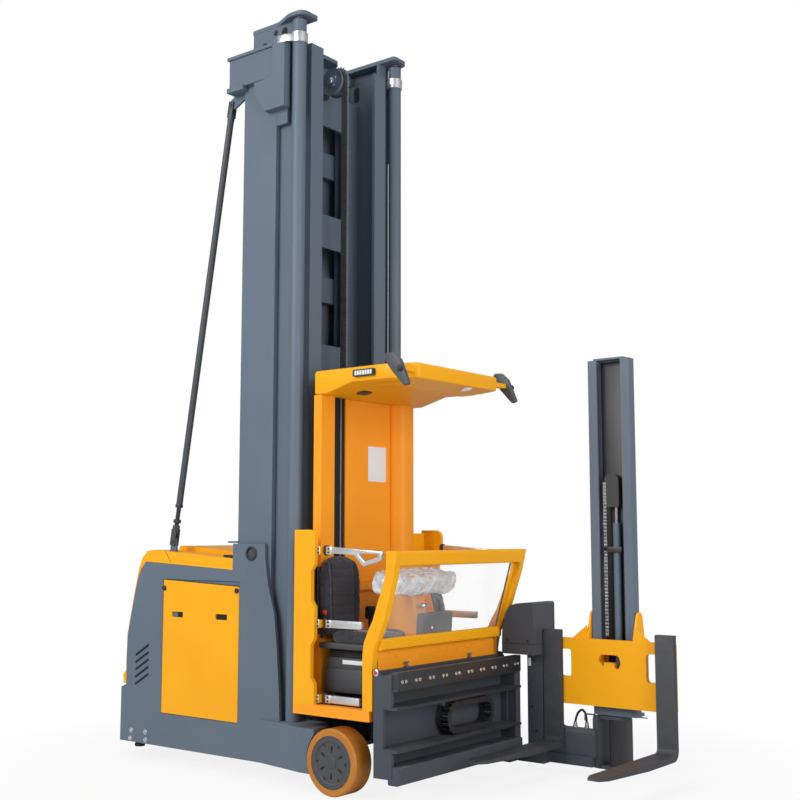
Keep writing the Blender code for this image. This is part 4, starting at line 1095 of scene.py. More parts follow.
def hood(body, lid_body):
    skirt = extrusion("Y", hood_outline(), -0.5517, 0.5517)
    top = [(-1.767, BODY_TOP_REAR + 2 * GAP), (-1.79, 1.34), (-1.765, 1.375),
           (-1.7, HOOD_REAR_Z), (HOOD_X1, HOOD_FRONT_Z),
           (HOOD_X1, BODY_TOP_FRONT + 0.001 + GAP)]
    cover = extrusion("Y", top, -BODY_Y + 0.002, BODY_Y - 0.002)
    fuse(cover, skirt)
    cuts = [block(-1.4, -1.0, -0.3, 0.3, 1.2, 1.5)]
    for _, side in SIDES:
        cuts.append(side_block(side, -1.625, -1.5, TIE_Y - 0.012,
                               TIE_Y + 0.012, 1.2, 1.5))
    cut(cover, *cuts)
    form("hood", cover, body, "yellow_paint")
    slope = (HOOD_FRONT_Z - HOOD_REAR_Z) / (HOOD_X1 + 1.7)
    rear_z = HOOD_REAR_Z + slope * (LID_X0 + 1.7) + GAP
    front_z = HOOD_REAR_Z + slope * (LID_X1 + 1.7) + GAP
    outline = rounded([(LID_X0, rear_z, 0), (LID_X0, rear_z + LID_RISE, 0.015),
                       (LID_X1, front_z + LID_RISE, 0.015), (LID_X1, front_z, 0)])
    lid = extrusion("Y", outline, -LID_Y, LID_Y)
    form("hood_lid", lid, lid_body, "yellow_paint")


def battery_panels(body):
    inside = BODY_Y - SKIN + GAP
    outline = [(PANEL_X0, PANEL_Z0), (PANEL_X1, PANEL_Z0),
               (PANEL_X1, PANEL_Z1 - PANEL_DROP), (PANEL_X0, PANEL_Z1)]
    for name, side in SIDES:
        panel = side_extrusion(side, outline, inside, inside + PANEL_T)
        cut(panel, *(side_extrusion(side, oblong(x - 0.054, 0.945, x + 0.054, 0.981,
                                                 0.004, 1),
                                    inside - 0.05, inside + PANEL_T + 0.05)
                     for x in DOOR_SLOT_X))
        form("battery_panel_" + name, panel, body, "yellow_paint")


def channel(side, x0, x1, y_out, depth, wall, flange, z0, z1):
    """C rail seen from above, open towards the centre line."""
    y = [side * y_out, side * (y_out - wall), side * (y_out - depth)]
    outline = [(x0, y[0]), (x1, y[0]), (x1, y[2]), (x1 - flange, y[2]),
               (x1 - flange, y[1]), (x0 + flange, y[1]), (x0 + flange, y[2]),
               (x0, y[2])]
    return extrusion("Z", outline, z0, z1)


def cross_sheet(x0, x1, half_width, z0, z1, window_half, windows):
    """Upright sheet across a mast with rounded windows."""
    sheet = block(x0, x1, -half_width, half_width, z0, z1)
    cuts = []
    for low, high in windows:
        outline = oblong(-window_half, low, window_half, high, 0.06)
        cuts.append(extrusion("X", outline, x0 - 0.05, x1 + 0.05))
    return cut(sheet, *cuts)


def mast_outer(body):
    rails = []
    for _, side in SIDES:
        rails.append(channel(side, OUTER_X0, OUTER_X1, OUTER_Y, 0.033, 0.014,
                             0.022, LEG_TOP + GAP, OUTER_TOP))
        rear = side_block(side, -1.02, -0.925, 0.435, 0.574, 4.455, 4.66)
        box = extrusion("Y", [(-1.02, 4.455), (-0.61, 4.455), (-0.61, 4.665),
                              (-1.02, 4.665)], *sorted((side * 0.526, side * 0.574)))
        plate = rounded([(-0.614, 4.71, 0), (-0.505, 4.71, 0), (-0.505, 4.231, 0),
                         (-0.68, 4.229, 0), (-0.77, 4.363, 0), (-0.778, 4.443, 0),
                         (-0.614, 4.451, 0)])
        plate = side_extrusion(side, plate, 0.53, 0.585)
        lip = side_block(side, -1.032, -0.612, 0.5, 0.587, 4.656, 4.676)
        sole = side_block(side, -1.032, -0.88, 0.44, 0.587, 4.43, 4.462)
        pad = side_block(side, -0.64, -0.52, 0.512, 0.534, 4.13, 4.3)
        rails += [rear, box, plate, lip, sole, pad]
        lug = rounded([(-1.09, 4.35, 0.02), (-1.035, 4.35, 0.02),
                       (-0.93, 4.4, 0), (-0.93, 4.44, 0), (-1.03, 4.44, 0),
                       (-1.09, 4.405, 0.02)])
        rails.append(side_extrusion(side, lug, TIE_Y - 0.008, TIE_Y + 0.008))
    rails.append(block(-0.915, -0.898, -0.53, 0.53, 0.4, 4.69))
    for z0 in (0.42, 1.48, 2.38, 3.18):
        rails.append(block(-0.904, -0.879, -0.53, 0.53, z0, z0 + 0.16))
    frame = rails.pop(0)
    fuse(frame, *rails)
    pins = []
    for _, side in SIDES:
        pins.append(cylinder("Y", -0.662, 4.365, 0.018,
                             side * 0.5, side * 0.62))
        pins.append(cylinder("Y", TIE_TOP[0], TIE_TOP[1], 0.0105,
                             side * TIE_Y - 0.05, side * TIE_Y + 0.05))
    cut(frame, *pins)
    form("mast_outer", frame, body, "slate_paint")


def tie_line(side):
    """Upper pin, lower pin and direction of a tie rod."""
    top, foot = (Vector((x, side * TIE_Y, z)) for x, z in (TIE_TOP, TIE_FOOT))
    return top, foot, (top - foot).normalized()


def tie_rod(name, side, body):
    top, foot, run = tie_line(side)
    bar = round_bar(foot + run * 0.25, top - run * 0.07, TIE_R)
    screw = round_bar(foot + run * 0.06, foot + run * 0.27, 0.014)
    pieces = [screw]
    for end, way in ((top, -run), (foot, run)):
        for low in (-0.02, 0.0095):
            ear = block(low, low + 0.0105, -0.022, 0.022, -0.025, 0.085)
            turn = way.to_track_quat("Z", "Y").to_matrix().to_4x4()
            ear.data.transform(Matrix.Translation(end) @ turn)
            pieces.append(ear)
        neck = round_bar(end + way * 0.06, end + way * 0.11, 0.024)
        pieces.append(neck)
        pin = cylinder("Y", end.x, end.z, 0.0098, end.y - 0.028, end.y + 0.028, 16)
        pieces.append(pin)
    fuse(bar, *pieces)
    # The tie rods take the darker slate as painted shade; their paint is the slate of the
    # mast
    form("tie_rod_" + name, bar, body, "slate_paint", finish="dark_slate")


def lift_cylinder(name, side, body):
    z0 = LEG_TOP + GAP
    profile = [(ROD_R + 0.006, CYL_TOP), (CYL_R, CYL_TOP), (CYL_R, z0),
               (0.0, z0), (0.0, z0 + 0.05), (ROD_R + 0.006, z0 + 0.05)]
    barrel = turned("Z", CYL_X, side * CYL_Y, profile)
    form("lift_cylinder_" + name, barrel, body, "slate_paint")


def mast_middle(body):
    rails = []
    for _, side in SIDES:
        rails.append(channel(side, MIDDLE_X0, MIDDLE_X1, MIDDLE_Y, 0.104, 0.016,
                             0.022, MAST_Z + 0.01, MIDDLE_TOP))
        cap = rounded([(-0.888, side * 0.4, 0), (-0.888, side * 0.5, 0.02),
                       (-0.64, side * 0.5, 0.16), (-0.5, side * 0.556, 0.08),
                       (-0.375, side * 0.556, 0.05), (-0.375, side * 0.4, 0.02)])
        rails.append(extrusion("Z", cap, MIDDLE_TOP - 0.004, CAP_Z))
        rails.append(cylinder("Z", CYL_X, side * CYL_Y, ROD_R, 0.7,
                              MIDDLE_TOP + 0.002, 16))
    for z0 in (0.2, 1.3, 2.2, 3.1, 4.0):
        rails.append(block(-0.866, -0.822, -0.48, 0.48, z0, z0 + 0.18))
    rails.append(block(-0.866, -0.822, -0.48, 0.48, 4.745, 4.819))
    top = rounded([(-0.886, -0.45, 0), (-0.82, -0.45, 0), (-0.82, -0.255, 0),
                   (-0.712, -0.19, 0.06), (-0.712, 0.19, 0.06),
                   (-0.82, 0.255, 0), (-0.82, 0.45, 0), (-0.886, 0.45, 0)])
    rails.append(extrusion("Z", top, 4.803, 4.83))
    frame = rails.pop(0)
    fuse(frame, *rails)
    form("mast_middle", frame, body, "slate_paint")


def mast_inner(body):
    rails = []
    for _, side in SIDES:
        rails.append(channel(side, INNER_X0, INNER_X1, INNER_Y, 0.118, 0.016,
                             0.022, MAST_Z + 0.02, INNER_TOP))
    windows = [(0.7, 1.45), (1.69, 2.52), (2.767, 3.439), (3.67, 4.3)]
    rails.append(cross_sheet(-0.7, -0.68, 0.38, 0.4, 4.54, 0.235, windows))
    rails.append(block(-0.699, -0.6785, -0.06, 0.03, 4.5, 4.6))
    frame = rails.pop(0)
    fuse(frame, *rails)
    form("mast_inner", frame, body, "slate_paint")


def cab_floor(body):
    deck = block(CAB_X0, 0.27, -CAB_Y, CAB_Y, FLOOR_Z0, FLOOR_Z1)
    toe = block(0.262, 0.29, -0.595, 0.595, FLOOR_Z0, 0.87)
    seat_of_frame = block(0.28, FRAME_X0 - GAP, -0.59, 0.59, 0.455, 0.705)
    fuse(deck, toe, seat_of_frame)
    # The deeper orange yellow here is painted shade on the cab's yellow paint
    form("cab_floor", deck, body, "yellow_paint", finish="painted_shade_yellow")


def cab_back(body):
    z0 = FLOOR_Z1 + GAP
    z1 = ROOF_REAR_Z - GAP
    wall = block(-0.3, -0.285, -0.215, 0.3, z0, z1)
    pillar = block(-0.3, -0.236, -BACK_Y, -0.375, z0, z1)
    column = rounded([(-0.3, 0.24, 0), (-0.3, BACK_Y, 0),
                      (-0.283, BACK_Y, 0.01), (-0.222, 0.415, 0.08),
                      (-0.203, 0.3, 0.06), (-0.27, 0.24, 0.02)])
    column = extrusion("Z", column, z0, z1)
    pieces = [pillar, column,
              block(-0.3, -0.27, -BACK_Y, BACK_Y, z0, 0.64),
              block(-0.29, -0.245, -0.38, 0.245, 1.14, 1.19)]
    for _, side in SIDES:
        outline = rounded([(-0.64, 0.52, 0.04), (-0.33, 0.52, 0),
                           (-0.33, 1.48, 0), (-0.64, 1.48, 0.04)])
        pieces.append(side_extrusion(side, outline, 0.225, 0.255))
    pieces.append(block(-0.35, -0.297, -0.48, 0.48, 0.52, 0.76))
    pieces.append(block(-0.35, -0.297, -0.48, 0.48, 1.24, 1.48))
    fuse(wall, *pieces)
    # The deeper orange yellow here is painted shade on the cab's yellow paint
    form("cab_back", wall, body, "yellow_paint", finish="painted_shade_yellow")


def cab_roof(body):
    """Shell with a deeper skirt at the rear, a ceiling and the grips' brackets."""
    outline = rounded([(CAB_X0 + 0.008, -0.5, 0.02), (0.27, -0.5, 0.05),
                       (ROOF_X1, -0.42, 0.04), (ROOF_X1, 0.42, 0.04),
                       (0.27, 0.5, 0.05), (CAB_X0 + 0.008, 0.5, 0.02)])
    plan = extrusion("Z", outline, 2.2, 2.6)
    profile = [(CAB_X0 - 0.01, ROOF_REAR_Z), (-0.2, ROOF_REAR_Z), (0.0, ROOF_Z0),
               (ROOF_X1 + 0.01, ROOF_Z0), (ROOF_X1 + 0.01, ROOF_Z1),
               (CAB_X0 - 0.01, ROOF_Z1)]
    roof = extrusion("Y", profile, -0.51, 0.51)
    combine(roof, [plan], "INTERSECT")
    soften(roof, 0.018)
    pieces = [extrusion("Y", [(0.02, 2.402), (0.19, 2.384), (0.27, 2.384),
                              (0.435, 2.402)], -0.4, 0.4)]
    for _, side in SIDES:
        pieces.append(side_block(side, 0.385, 0.43, 0.42, 0.56, 2.436, 2.464))
    fuse(roof, *pieces)
    form("cab_roof", roof, body, "yellow_paint")


def cab_side(name, side, body):
    z0 = FLOOR_Z1 + GAP
    notch = SIDE_X1 - 0.028
    outline = rounded([(CAB_X0, z0, 0), (SIDE_X1, z0, 0), (SIDE_X1, 0.62, 0),
                       (notch, 0.655, 0), (notch, 0.841, 0), (SIDE_X1, 0.88, 0),
                       (SIDE_X1, 1.064, 0), (notch, 1.102, 0), (notch, 1.278, 0),
                       (SIDE_X1, 1.313, 0), (SIDE_X1, SIDE_TOP, 0.05),
                       (CAB_X0, SIDE_TOP, 0)])
    panel = side_extrusion(side, outline, 0.622, CAB_Y)
    back = side_block(side, CAB_X0, CAB_X0 + 0.022, BACK_Y + GAP, CAB_Y - 0.001,
                      z0, SIDE_TOP - 0.02)
    knuckles = []
    for z in GATE_BARS:
        knuckles.append(side_block(side, -0.18, -0.129, 0.583, 0.624,
                                   z - 0.022, z + 0.022))
    fuse(panel, back, *knuckles)
    form("cab_side_" + name, panel, body, "yellow_paint")


def gate(name, side, body):
    """Three bars on black hinge blocks, closed across the way in."""
    y = side * GATE_Y
    bars = []
    for z, reach in zip(GATE_BARS, (0.156, 0.169)):
        outline = oblong(-0.114, z - 0.022, reach, z + 0.022, 0.006)
        bars.append(side_extrusion(side, outline, GATE_Y - 0.011, GATE_Y + 0.011))
    outline = rounded([(-0.114, 1.379, 0), (0.111, 1.369, 0.01),
                       (0.182, 1.303, 0.015), (0.311, 1.34, 0.015),
                       (0.328, 1.391, 0.01), (-0.114, 1.418, 0)])
    top = side_extrusion(side, outline, GATE_Y - 0.011, GATE_Y + 0.011)
    loop = rounded([(0.138, 1.38, 0.008), (0.192, 1.331, 0.01),
                    (0.288, 1.357, 0.01), (0.29, 1.375, 0.008)])
    cut(top, extrusion("Y", loop, y - 0.1, y + 0.1))
    bars.append(top)
    first = bars.pop(0)
    fuse(first, *bars)
    form("gate_" + name, first, body, "aluminium", 0.002)
    hinge = Form()
    for z in (0.533, 0.965, 1.398):
        hinge.slab(-0.12, -0.096, side * (GATE_Y - 0.0125), side * (GATE_Y + 0.0125),
                   z - 0.026, z + 0.026, 0.002)
    hinge.piece("gate_hinges_" + name, body, "black_steel")


def guard_post(side):
    rear = [(0.222, FLOOR_Z1 + GAP), (0.221, 0.8), (0.231, 0.874), (0.261, 0.936),
            (0.303, 1.008), (0.333, 1.083), (0.369, 1.168), (0.399, 1.243),
            (0.412, 1.308), (0.415, GUARD_TOP)]
    front = [(0.29, FLOOR_Z1 + GAP), (0.291, 0.76), (0.31, 0.86),
             (0.352, 0.936), (0.388, 1.011), (0.417, 1.105), (0.441, 1.179),
             (0.465, 1.253), (0.48, 1.325), (GUARD_X, GUARD_TOP)]
    low, high = sorted((side * 0.605, side * 0.65))
    post = extrusion("Y", front + rear[::-1], low, high)
    for vertex in post.data.vertices:
        rise = max(0.0, vertex.co.z - 0.86)
        vertex.co.y += side * rise * (GUARD_Y - 0.65) / (GUARD_TOP - 0.86)
    return post


def front_guard(body):
    rail = rounded([(0.416, 1.31, 0.015), (0.478, 1.31, 0.015),
                    (GUARD_X - 0.001, GUARD_TOP + 0.001, 0.015),
                    (0.416, GUARD_TOP + 0.001, 0.015)])
    top = extrusion("Y", rail, -GUARD_Y + 0.002, GUARD_Y - 0.002)
    low = oblong(0.2965, 0.835, 0.334, 0.9, 0.01)
    low = extrusion("Y", low, -LOW_RAIL_Y, LOW_RAIL_Y)
    fuse(top, low, guard_post(-1), guard_post(1))
    form("front_guard", top, body, "yellow_paint")


def guard_pane(body):
    outline = [(0.31, 0.9005), (0.316, 0.9005), (0.436, 1.3095), (0.43, 1.3095)]
    pane = extrusion("Y", outline, -0.585, 0.585)
    form("guard_pane", pane, body, "clear_sheet")


def seat_base(body):
    """Slide box on a foot behind the gate's sweep, with the pan on top."""
    base = block(-0.19, 0.12, -0.5, -0.2, 0.562, 0.7)
    foot = block(-0.19, -0.13, -0.48, -0.22, FLOOR_Z1 + GAP, 0.57)
    core = block(-0.165, 0.105, -0.48, -0.22, 0.69, 0.825)
    pan = block(-0.2, 0.17, -0.55, -0.165, 0.8185, 0.85)
    fuse(base, foot, core, pan)
    form("seat_base", base, body, "grey_plastic", 0.004)


def console(body):
    """Pedestal beside the seat with the desk; the foot housing on the toe plate."""
    z0 = FLOOR_Z1 + GAP
    column = extrusion("Y", [(0.0, z0), (0.24, z0), (0.24, 0.9), (0.165, 1.17),
                             (0.0, 1.17)], -0.13, -0.02)
    desk = rounded([(0.11, 1.15, 0.03), (0.28, 1.14, 0.03),
                    (0.33, 1.25, 0.03), (0.12, 1.278, 0.04)])
    desk = extrusion("Y", desk, -0.42, 0.14)
    fuse(column, desk)
    # The deeper orange yellow here is painted shade on the cab's yellow paint
    form("console", column, body, "yellow_paint", 0.006, "painted_shade_yellow")
    unit = rounded([(0.247, 0.8703, 0), (0.2915, 0.8703, 0),
                    (0.3, 1.02, 0.02), (0.256, 1.02, 0.02)])
    unit = extrusion("Y", unit, -0.18, 0.125)
    form("foot_housing", unit, body, "grey_plastic")


def traverse_frame(body):
    half = FRAME_Y
    web = block(FRAME_X0, 0.32, -half, half, 0.15, FRAME_Z1)
    bar = oblong(0.4, FRAME_Z0, 0.472, 0.212, 0.01)
    pieces = [block(0.31, 0.4275, -half + 0.001, half - 0.001, 0.612, 0.7),
              block(0.31, FRAME_X1, -half + 0.002, half - 0.002, 0.518, 0.533),
              block(0.31, FRAME_X1, -half + 0.002, half - 0.002, 0.288, 0.303),
              block(0.31, 0.43, -half + 0.001, half - 0.001, 0.151, 0.2),
              extrusion("Y", bar, -half + 0.003, half - 0.003)]
    for _, side in SIDES:
        plate = [(FRAME_X0, 0.14), (0.4285, 0.143), (0.4285, 0.29),
                 (0.368, 0.294), (0.368, 0.526), (0.4285, 0.526), (0.4285, 0.701),
                 (0.348, 0.697), (0.335, 0.715), (0.318, 0.737), (FRAME_X0, 0.737)]
        pieces.append(side_extrusion(side, plate, FRAME_Y - 0.02, FRAME_Y + 0.001))
    rail = oblong(0.424, 0.622, FRAME_X1, 0.722, 0.006)
    pieces.append(extrusion("Y", rail, -FRAME_Y + 0.004, FRAME_Y - 0.004))
    pieces.append(block(FRAME_X0, 0.4275, 0.64, 0.694, 0.15, 0.7))
    fuse(web, *pieces)
    form("traverse_frame", web, body, "slate_paint", finish="dark_slate")


def turret_carriage(body):
    """Hooks over the top rail and under the bottom bar."""
    outline = [(TURRET_X1, TURRET_Z0), (TURRET_X1, TURRET_TOP - 0.01),
               (TURRET_X1 - 0.01, TURRET_TOP), (0.55, TURRET_TOP),
               (0.47, 1.05), (0.43, 1.038), (0.402, 1.015), (0.383, 0.98),
               (0.368, 0.93), (0.36, 0.87), (0.358, 0.8), (0.358, 0.729),
               (0.4785, 0.729), (0.4785, 0.092), (0.34, 0.092),
               (0.34, TURRET_Z0)]
    case = extrusion("Y", outline, TURRET_Y0, TURRET_Y1)
    upper = [point for point in outline if point[1] > 0.73]
    shoe = extrusion("Y", upper + [(0.358, 0.731), (TURRET_X1, 0.731)], 0.59,
                     TURRET_Y0 + 0.01)
    foot = block(0.344, 0.41, 0.59, TURRET_Y0 + 0.01, TURRET_Z0 + 0.005, 0.089)
    beam = rounded([(0.745, 0.115, 0.01), (0.83, 0.115, 0.01),
                    (0.83, 0.285, 0.03), (0.745, 0.285, 0.03)])
    beam = extrusion("X", beam, TURRET_X1 - 0.01, 0.93)
    web = block(TURRET_X1 - 0.01, 0.915, 0.735, 0.84, 0.06, 0.12)
    gusset = [(TURRET_X1 - 0.01, 0.28), (0.7, 0.28)]
    gusset += arc((0.7, 0.39), 0.1, 270, 180, 6)
    gusset += [(0.6, 0.48), (TURRET_X1 - 0.01, 0.48)]
    gusset = extrusion("Y", gusset, 0.78, 0.796)
    plate = rounded([(0.78, 0.048, 0.02), (0.955, 0.048, 0.02),
                     (0.955, 0.366, 0.02), (0.78, 0.366, 0.02)])
    plate = extrusion("X", plate, 0.9, 0.935)
    fuse(case, shoe, foot, beam, web, gusset, plate)
    lugs = []
    for z0 in (0.045, 0.348):
        outline = [(0.92, HEAD_Y - 0.07), (HEAD_X, HEAD_Y - 0.07)]
        outline += arc((HEAD_X, HEAD_Y), 0.07, -90, 90, 8)
        outline += [(0.92, HEAD_Y + 0.07)]
        lugs.append(extrusion("Z", outline, z0, z0 + 0.02))
    fuse(case, *lugs)
    cut(case, cylinder("Z", HEAD_X, HEAD_Y, 0.041, 0.3, 0.5))
    form("turret_carriage", case, body, "slate_paint", finish="dark_slate")


def swivel_column(body):
    """Pivot column between the carriage's lugs, with a neck through the top."""
    column = oblong(HEAD_X - 0.058, HEAD_Y - 0.06, HEAD_X + 0.058,
                    HEAD_Y + 0.06, 0.02)
    column = extrusion("Z", column, 0.0655, 0.3475)
    neck = cylinder("Z", HEAD_X, HEAD_Y, 0.04, 0.34, HEAD_Z0 - GAP)
    fuse(column, neck)
    form("swivel_column", column, body, "black_steel")


def fork_carriage(body):
    x0 = HEAD_X - PLATE_HALF
    x1 = HEAD_X + PLATE_HALF
    y0 = SHANK_Y + FORK_T + GAP
    outline = oblong(x0, PLATE_Z0, x1, PLATE_Z1, 0.01, 2)
    plate = extrusion("Y", outline, y0, y0 + 0.036)
    pieces = []
    for side in (-1, 1):
        ear = rounded([(y0 + 0.02, 0.5, 0), (0.86, 0.56, 0.02),
                       (0.892, 0.86, 0.03), (0.868, 1.01, 0.04),
                       (0.812, 1.01, 0.03), (y0 + 0.02, 0.85, 0)])
        low, high = sorted((HEAD_X + side * 0.152, HEAD_X + side * 0.166))
        pieces.append(extrusion("X", ear, low, high))
        gusset = [(HEAD_X + side * 0.16, PLATE_Z1 - 0.02),
                  (HEAD_X + side * 0.26, PLATE_Z1 - 0.02),
                  (HEAD_X + side * 0.26, PLATE_Z1 + 0.004),
                  (HEAD_X + side * 0.164, PLATE_Z1 + 0.08)]
        pieces.append(extrusion("Y", gusset, y0 + 0.016, y0 + 0.03))
        x = HEAD_X + side * 0.068
        arm = rounded([(x - 0.01, y0 + 0.03, 0), (x + 0.01, y0 + 0.03, 0),
                       (x + 0.01, 0.855, 0.005), (x - 0.01, 0.855, 0.005)])
        pieces.append(extrusion("Z", arm, 0.48, 0.8))
        for z in (0.52, 0.76):
            low, high = sorted((x, HEAD_X + side * 0.128))
            pieces.append(cylinder("X", 0.835, z, 0.018, low, high, 16))
    fuse(plate, *pieces)
    cuts = []
    for low, high in ((-0.352, -0.268), (0.246, 0.352)):
        slot = oblong(HEAD_X + low, 0.6, HEAD_X + high, 0.77, 0.02)
        cuts.append(extrusion("Y", slot, y0 - 0.05, y0 + 0.1))
    x = HEAD_X
    slot = rounded([(x - 0.04, 0.676, 0), (x - 0.036, 0.702, 0.006),
                    (x + 0.03, 0.702, 0.006), (x + 0.034, 0.672, 0.004),
                    (x + 0.058, 0.664, 0.01), (x + 0.078, 0.7, 0.02),
                    (x + 0.064, 0.75, 0.03), (x - 0.06, 0.75, 0.03),
                    (x - 0.08, 0.71, 0.02)])
    cuts.append(extrusion("Y", slot, y0 - 0.05, y0 + 0.1))
    cut(plate, *cuts)
    form("fork_carriage", plate, body, "yellow_paint")


def fork(name, side, body):
    """L fork: an upright shank and a blade that tapers to its tip."""
    x = HEAD_X + side * FORK_HALF_GAP
    heel = BLADE_TOP - FORK_T
    outline = [(SHANK_Y + FORK_T, 0.89), (SHANK_Y + 0.004, 0.89),
               (SHANK_Y, 0.88)]
    outline += arc((SHANK_Y - 0.03, BLADE_TOP + 0.03), 0.03, 0, -90, 4)
    outline += [(BLADE_TIP_Y + 0.01, BLADE_TOP), (BLADE_TIP_Y, BLADE_TOP - 0.01),
                (BLADE_TIP_Y + 0.01, BLADE_TOP - 0.014), (0.35, heel)]
    outline += arc((SHANK_Y - 0.02, heel + 0.06), 0.06, -90, 0, 5)
    bar = extrusion("X", outline, x - FORK_W / 2, x + FORK_W / 2)
    corners = []
    for way in (-1, 1):
        edge = x + way * FORK_W / 2
        corner = [(edge + way * 0.01, BLADE_TIP_Y - 0.01),
                  (edge - way * 0.035, BLADE_TIP_Y - 0.01),
                  (edge + way * 0.01, BLADE_TIP_Y + 0.1)]
        corners.append(extrusion("Z", corner, 0.1, 0.3))
    cut(bar, *corners)
    form("fork_" + name, bar, body, "fork_steel")


def rigid_forms():
    chassis_frame("chassis")
    hood("chassis", "lid")
    battery_panels("chassis")
    mast_outer("chassis")
    mast_middle("middle")
    mast_inner("inner")
    for name, side in SIDES:
        tie_rod(name, side, "chassis")
        lift_cylinder(name, side, "chassis")
        cab_side(name, side, "cab")
        gate(name, side, "gate_%s_body" % name)
    for make in (cab_floor, cab_back, cab_roof, front_guard, guard_pane, seat_base,
                 console, traverse_frame):
        make("cab")
    turret_carriage("turret")
    swivel_column("head")
    fork_carriage("forks")
    fork("front", 1, "forks")
    fork("rear", -1, "forks")


# Tail

def tail_details():
    for name, side in SIDES:
        out = (0, side, 0)
        face = side * 0.56
        places = [(-1.785, face, 0.7125 - 0.0483 * k) for k in range(5)]
        roll = math.radians(30) * -side
        # The vent slots are dark sheets on the side, painted shade in place of openings
        gather("vent_slots_" + name, "chassis", "hole_shade_and_joint_black",
               [on_points("slot", places, out, roll=roll)])
        gather("vent_lips_" + name, "chassis", "slate_paint",
               [on_points("lip", places, out, roll=roll)])
        bolts = [(x, face, z) for x, z in ((-1.881, 0.174), (-1.737, 0.176),
                                           (-1.889, 0.121), (-1.733, 0.124))]
        gather("tail_bolts_" + name, "chassis", "bright_steel",
               [on_points("bolt", bolts, out, 0.0125, 0.0, 2.0)])
        knobs = [(-1.573, side * 0.5592, 1.133), (-0.886, side * 0.5592, 1.133)]
        gather("door_latches_" + name, "chassis", "black_plastic",
               [on_points("knob", knobs, out, 0.0165)])
        foot = Form().turned((-1.852, side * 0.505, 0.101), (0, 0, -1), [
            (0.0, 0.0), (0.016, 0.0), (0.016, 0.012), (0.034, 0.014), (0.036, 0.024),
            (0.032, 0.034), (0.0, 0.036)], 24)
        foot.piece("tail_foot_" + name, "chassis", "black_plastic", "rubber")
        boss = Form().turned((BOSS[0], face, BOSS[1]), out, [
            (0.046, -0.01), (0.046, 0.007), (0.041, 0.011), (0.034, 0.011),
            (0.031, 0.006), (0.031, -0.01)], 36)
        boss.piece("foot_boss_" + name, "chassis", "black_steel")
        core = Form().turned((BOSS[0], face, BOSS[1]), out, [
            (0.0, -0.006), (0.0305, -0.006), (0.0305, 0.0012), (0.0, 0.0012)], 36)
        core.piece("foot_boss_core_" + name, "chassis", "slate_paint", "dark_slate")
        gap = Form()
        gap.prism("Y", [(-1.5868, 1.1905), (-0.8645, 1.161), (-0.8645, 1.1575),
                        (-1.5868, 1.1875)], side * 0.5475, side * 0.557)
        gap.slab(-1.5868, -1.5834, side * 0.5475, side * 0.557, 0.315, 1.189, 0.0)
        # Dark slabs behind the panels' door slots are painted shade seen through the slots;
        # the strips above are real dark joints
        for x in DOOR_SLOT_X:
            gap.slab(x - 0.06, x + 0.06, side * 0.536, side * 0.547, 0.938, 0.988, 0.001)
        gap.piece("door_gaps_" + name, "chassis", "black_plastic", "hole_shade_and_joint_black")
        seam = Form().prism("Y", [(-1.579, 1.3775), (-1.575, 1.3775), (-1.517, 1.3),
                                  (-1.521, 1.3)], side * 0.556, side * 0.5584)
        seam.piece("hood_seam_" + name, "chassis", "black_plastic", "hole_shade_and_joint_black")
        handle = Form().prism("Z", rounded([(-1.06, side * 0.5, 0.004),
                                            (-0.955, side * 0.5, 0.004),
                                            (-0.955, side * 0.52, 0.004),
                                            (-1.06, side * 0.52, 0.004)]),
                              1.338, 1.358, 0.003)
        handle.piece("hood_catch_" + name, "chassis", "black_plastic")
        shelf = Form().slab(-0.985, -0.905, side * 0.5, side * 0.552, 1.434, 1.446)
        shelf.piece("mast_foot_shelf_" + name, "chassis", "slate_paint")


# Mast

def cylinder_ring(side, outer, inner, low, high, sides=40):
    """Ring round a lift cylinder's axis."""
    circles = [arc((CYL_X, side * CYL_Y), radius, 0, 360, sides)[:-1]
               for radius in (outer, inner)]
    return ring(Form(), *circles, low, high)


def mast_details():
    for name, side in SIDES:
        band = cylinder_ring(side, 0.0535, 0.0452, 4.655, 4.722)
        band.slab(-0.512, -0.49, side * 0.478, side * 0.52, 4.66, 4.717)
        band.piece("cylinder_band_" + name, "chassis", "aluminium")
        collar = cylinder_ring(side, 0.0462, 0.0325, 4.809, 4.816)
        collar.piece("cylinder_collar_" + name, "chassis", "black_steel")
        rod = cylinder_ring(side, 0.0287, 0.0279, 0.76, 4.8275, 32)
        rod.piece("lift_rod_" + name, "middle", "aluminium", "bright_steel")
        strap = [(-0.566, 0.5852), (-0.503, 0.5852), (-0.456, 0.55), (-0.448, 0.5535),
                 (-0.5, 0.589), (-0.566, 0.589)]
        plate = Form().prism("Z", [(x, side * y) for x, y in strap], 4.657, 4.705, 0.001)
        plate.piece("clamp_strap_" + name, "chassis", "aluminium")
        bolts = [(-0.545, side * 0.589, 4.681)]
        gather("clamp_bolts_" + name, "chassis", "bright_steel",
               [on_points("bolt", bolts, (0, side, 0), 0.009,
                          0.0, 2.0)])
        heads = [(-0.765, side * 0.498, 4.725), (-0.665, side * 0.498, 4.788)]
        gather("cap_bolts_" + name, "middle", "black_steel",
               [on_points("bolt", heads, (0, side, 0), 0.013)])
        # The eyes are dark oblongs on the rails, painted shade in place of cut holes
        eye = Form().prism("Y", oblong(-0.612, 4.735, -0.56, 4.805, 0.025),
                           side * 0.49, side * 0.4988)
        eye.piece("rail_eye_" + name, "middle", "black_plastic", "hole_shade_and_joint_black")
        hole = Form().prism("Y", oblong(-0.722, 4.575, -0.672, 4.69, 0.024),
                            side * 0.38, side * 0.3713)
        hole.piece("inner_eye_" + name, "inner", "black_plastic", "hole_shade_and_joint_black")
        wear = Form()
        for z in (0.7, 2.0, 3.3, 4.42):
            wear.slab(-0.64, -0.6, side * 0.484, side * 0.492, z, z + 0.09, 0.003)
        wear.piece("wear_pads_" + name, "middle", "black_plastic")


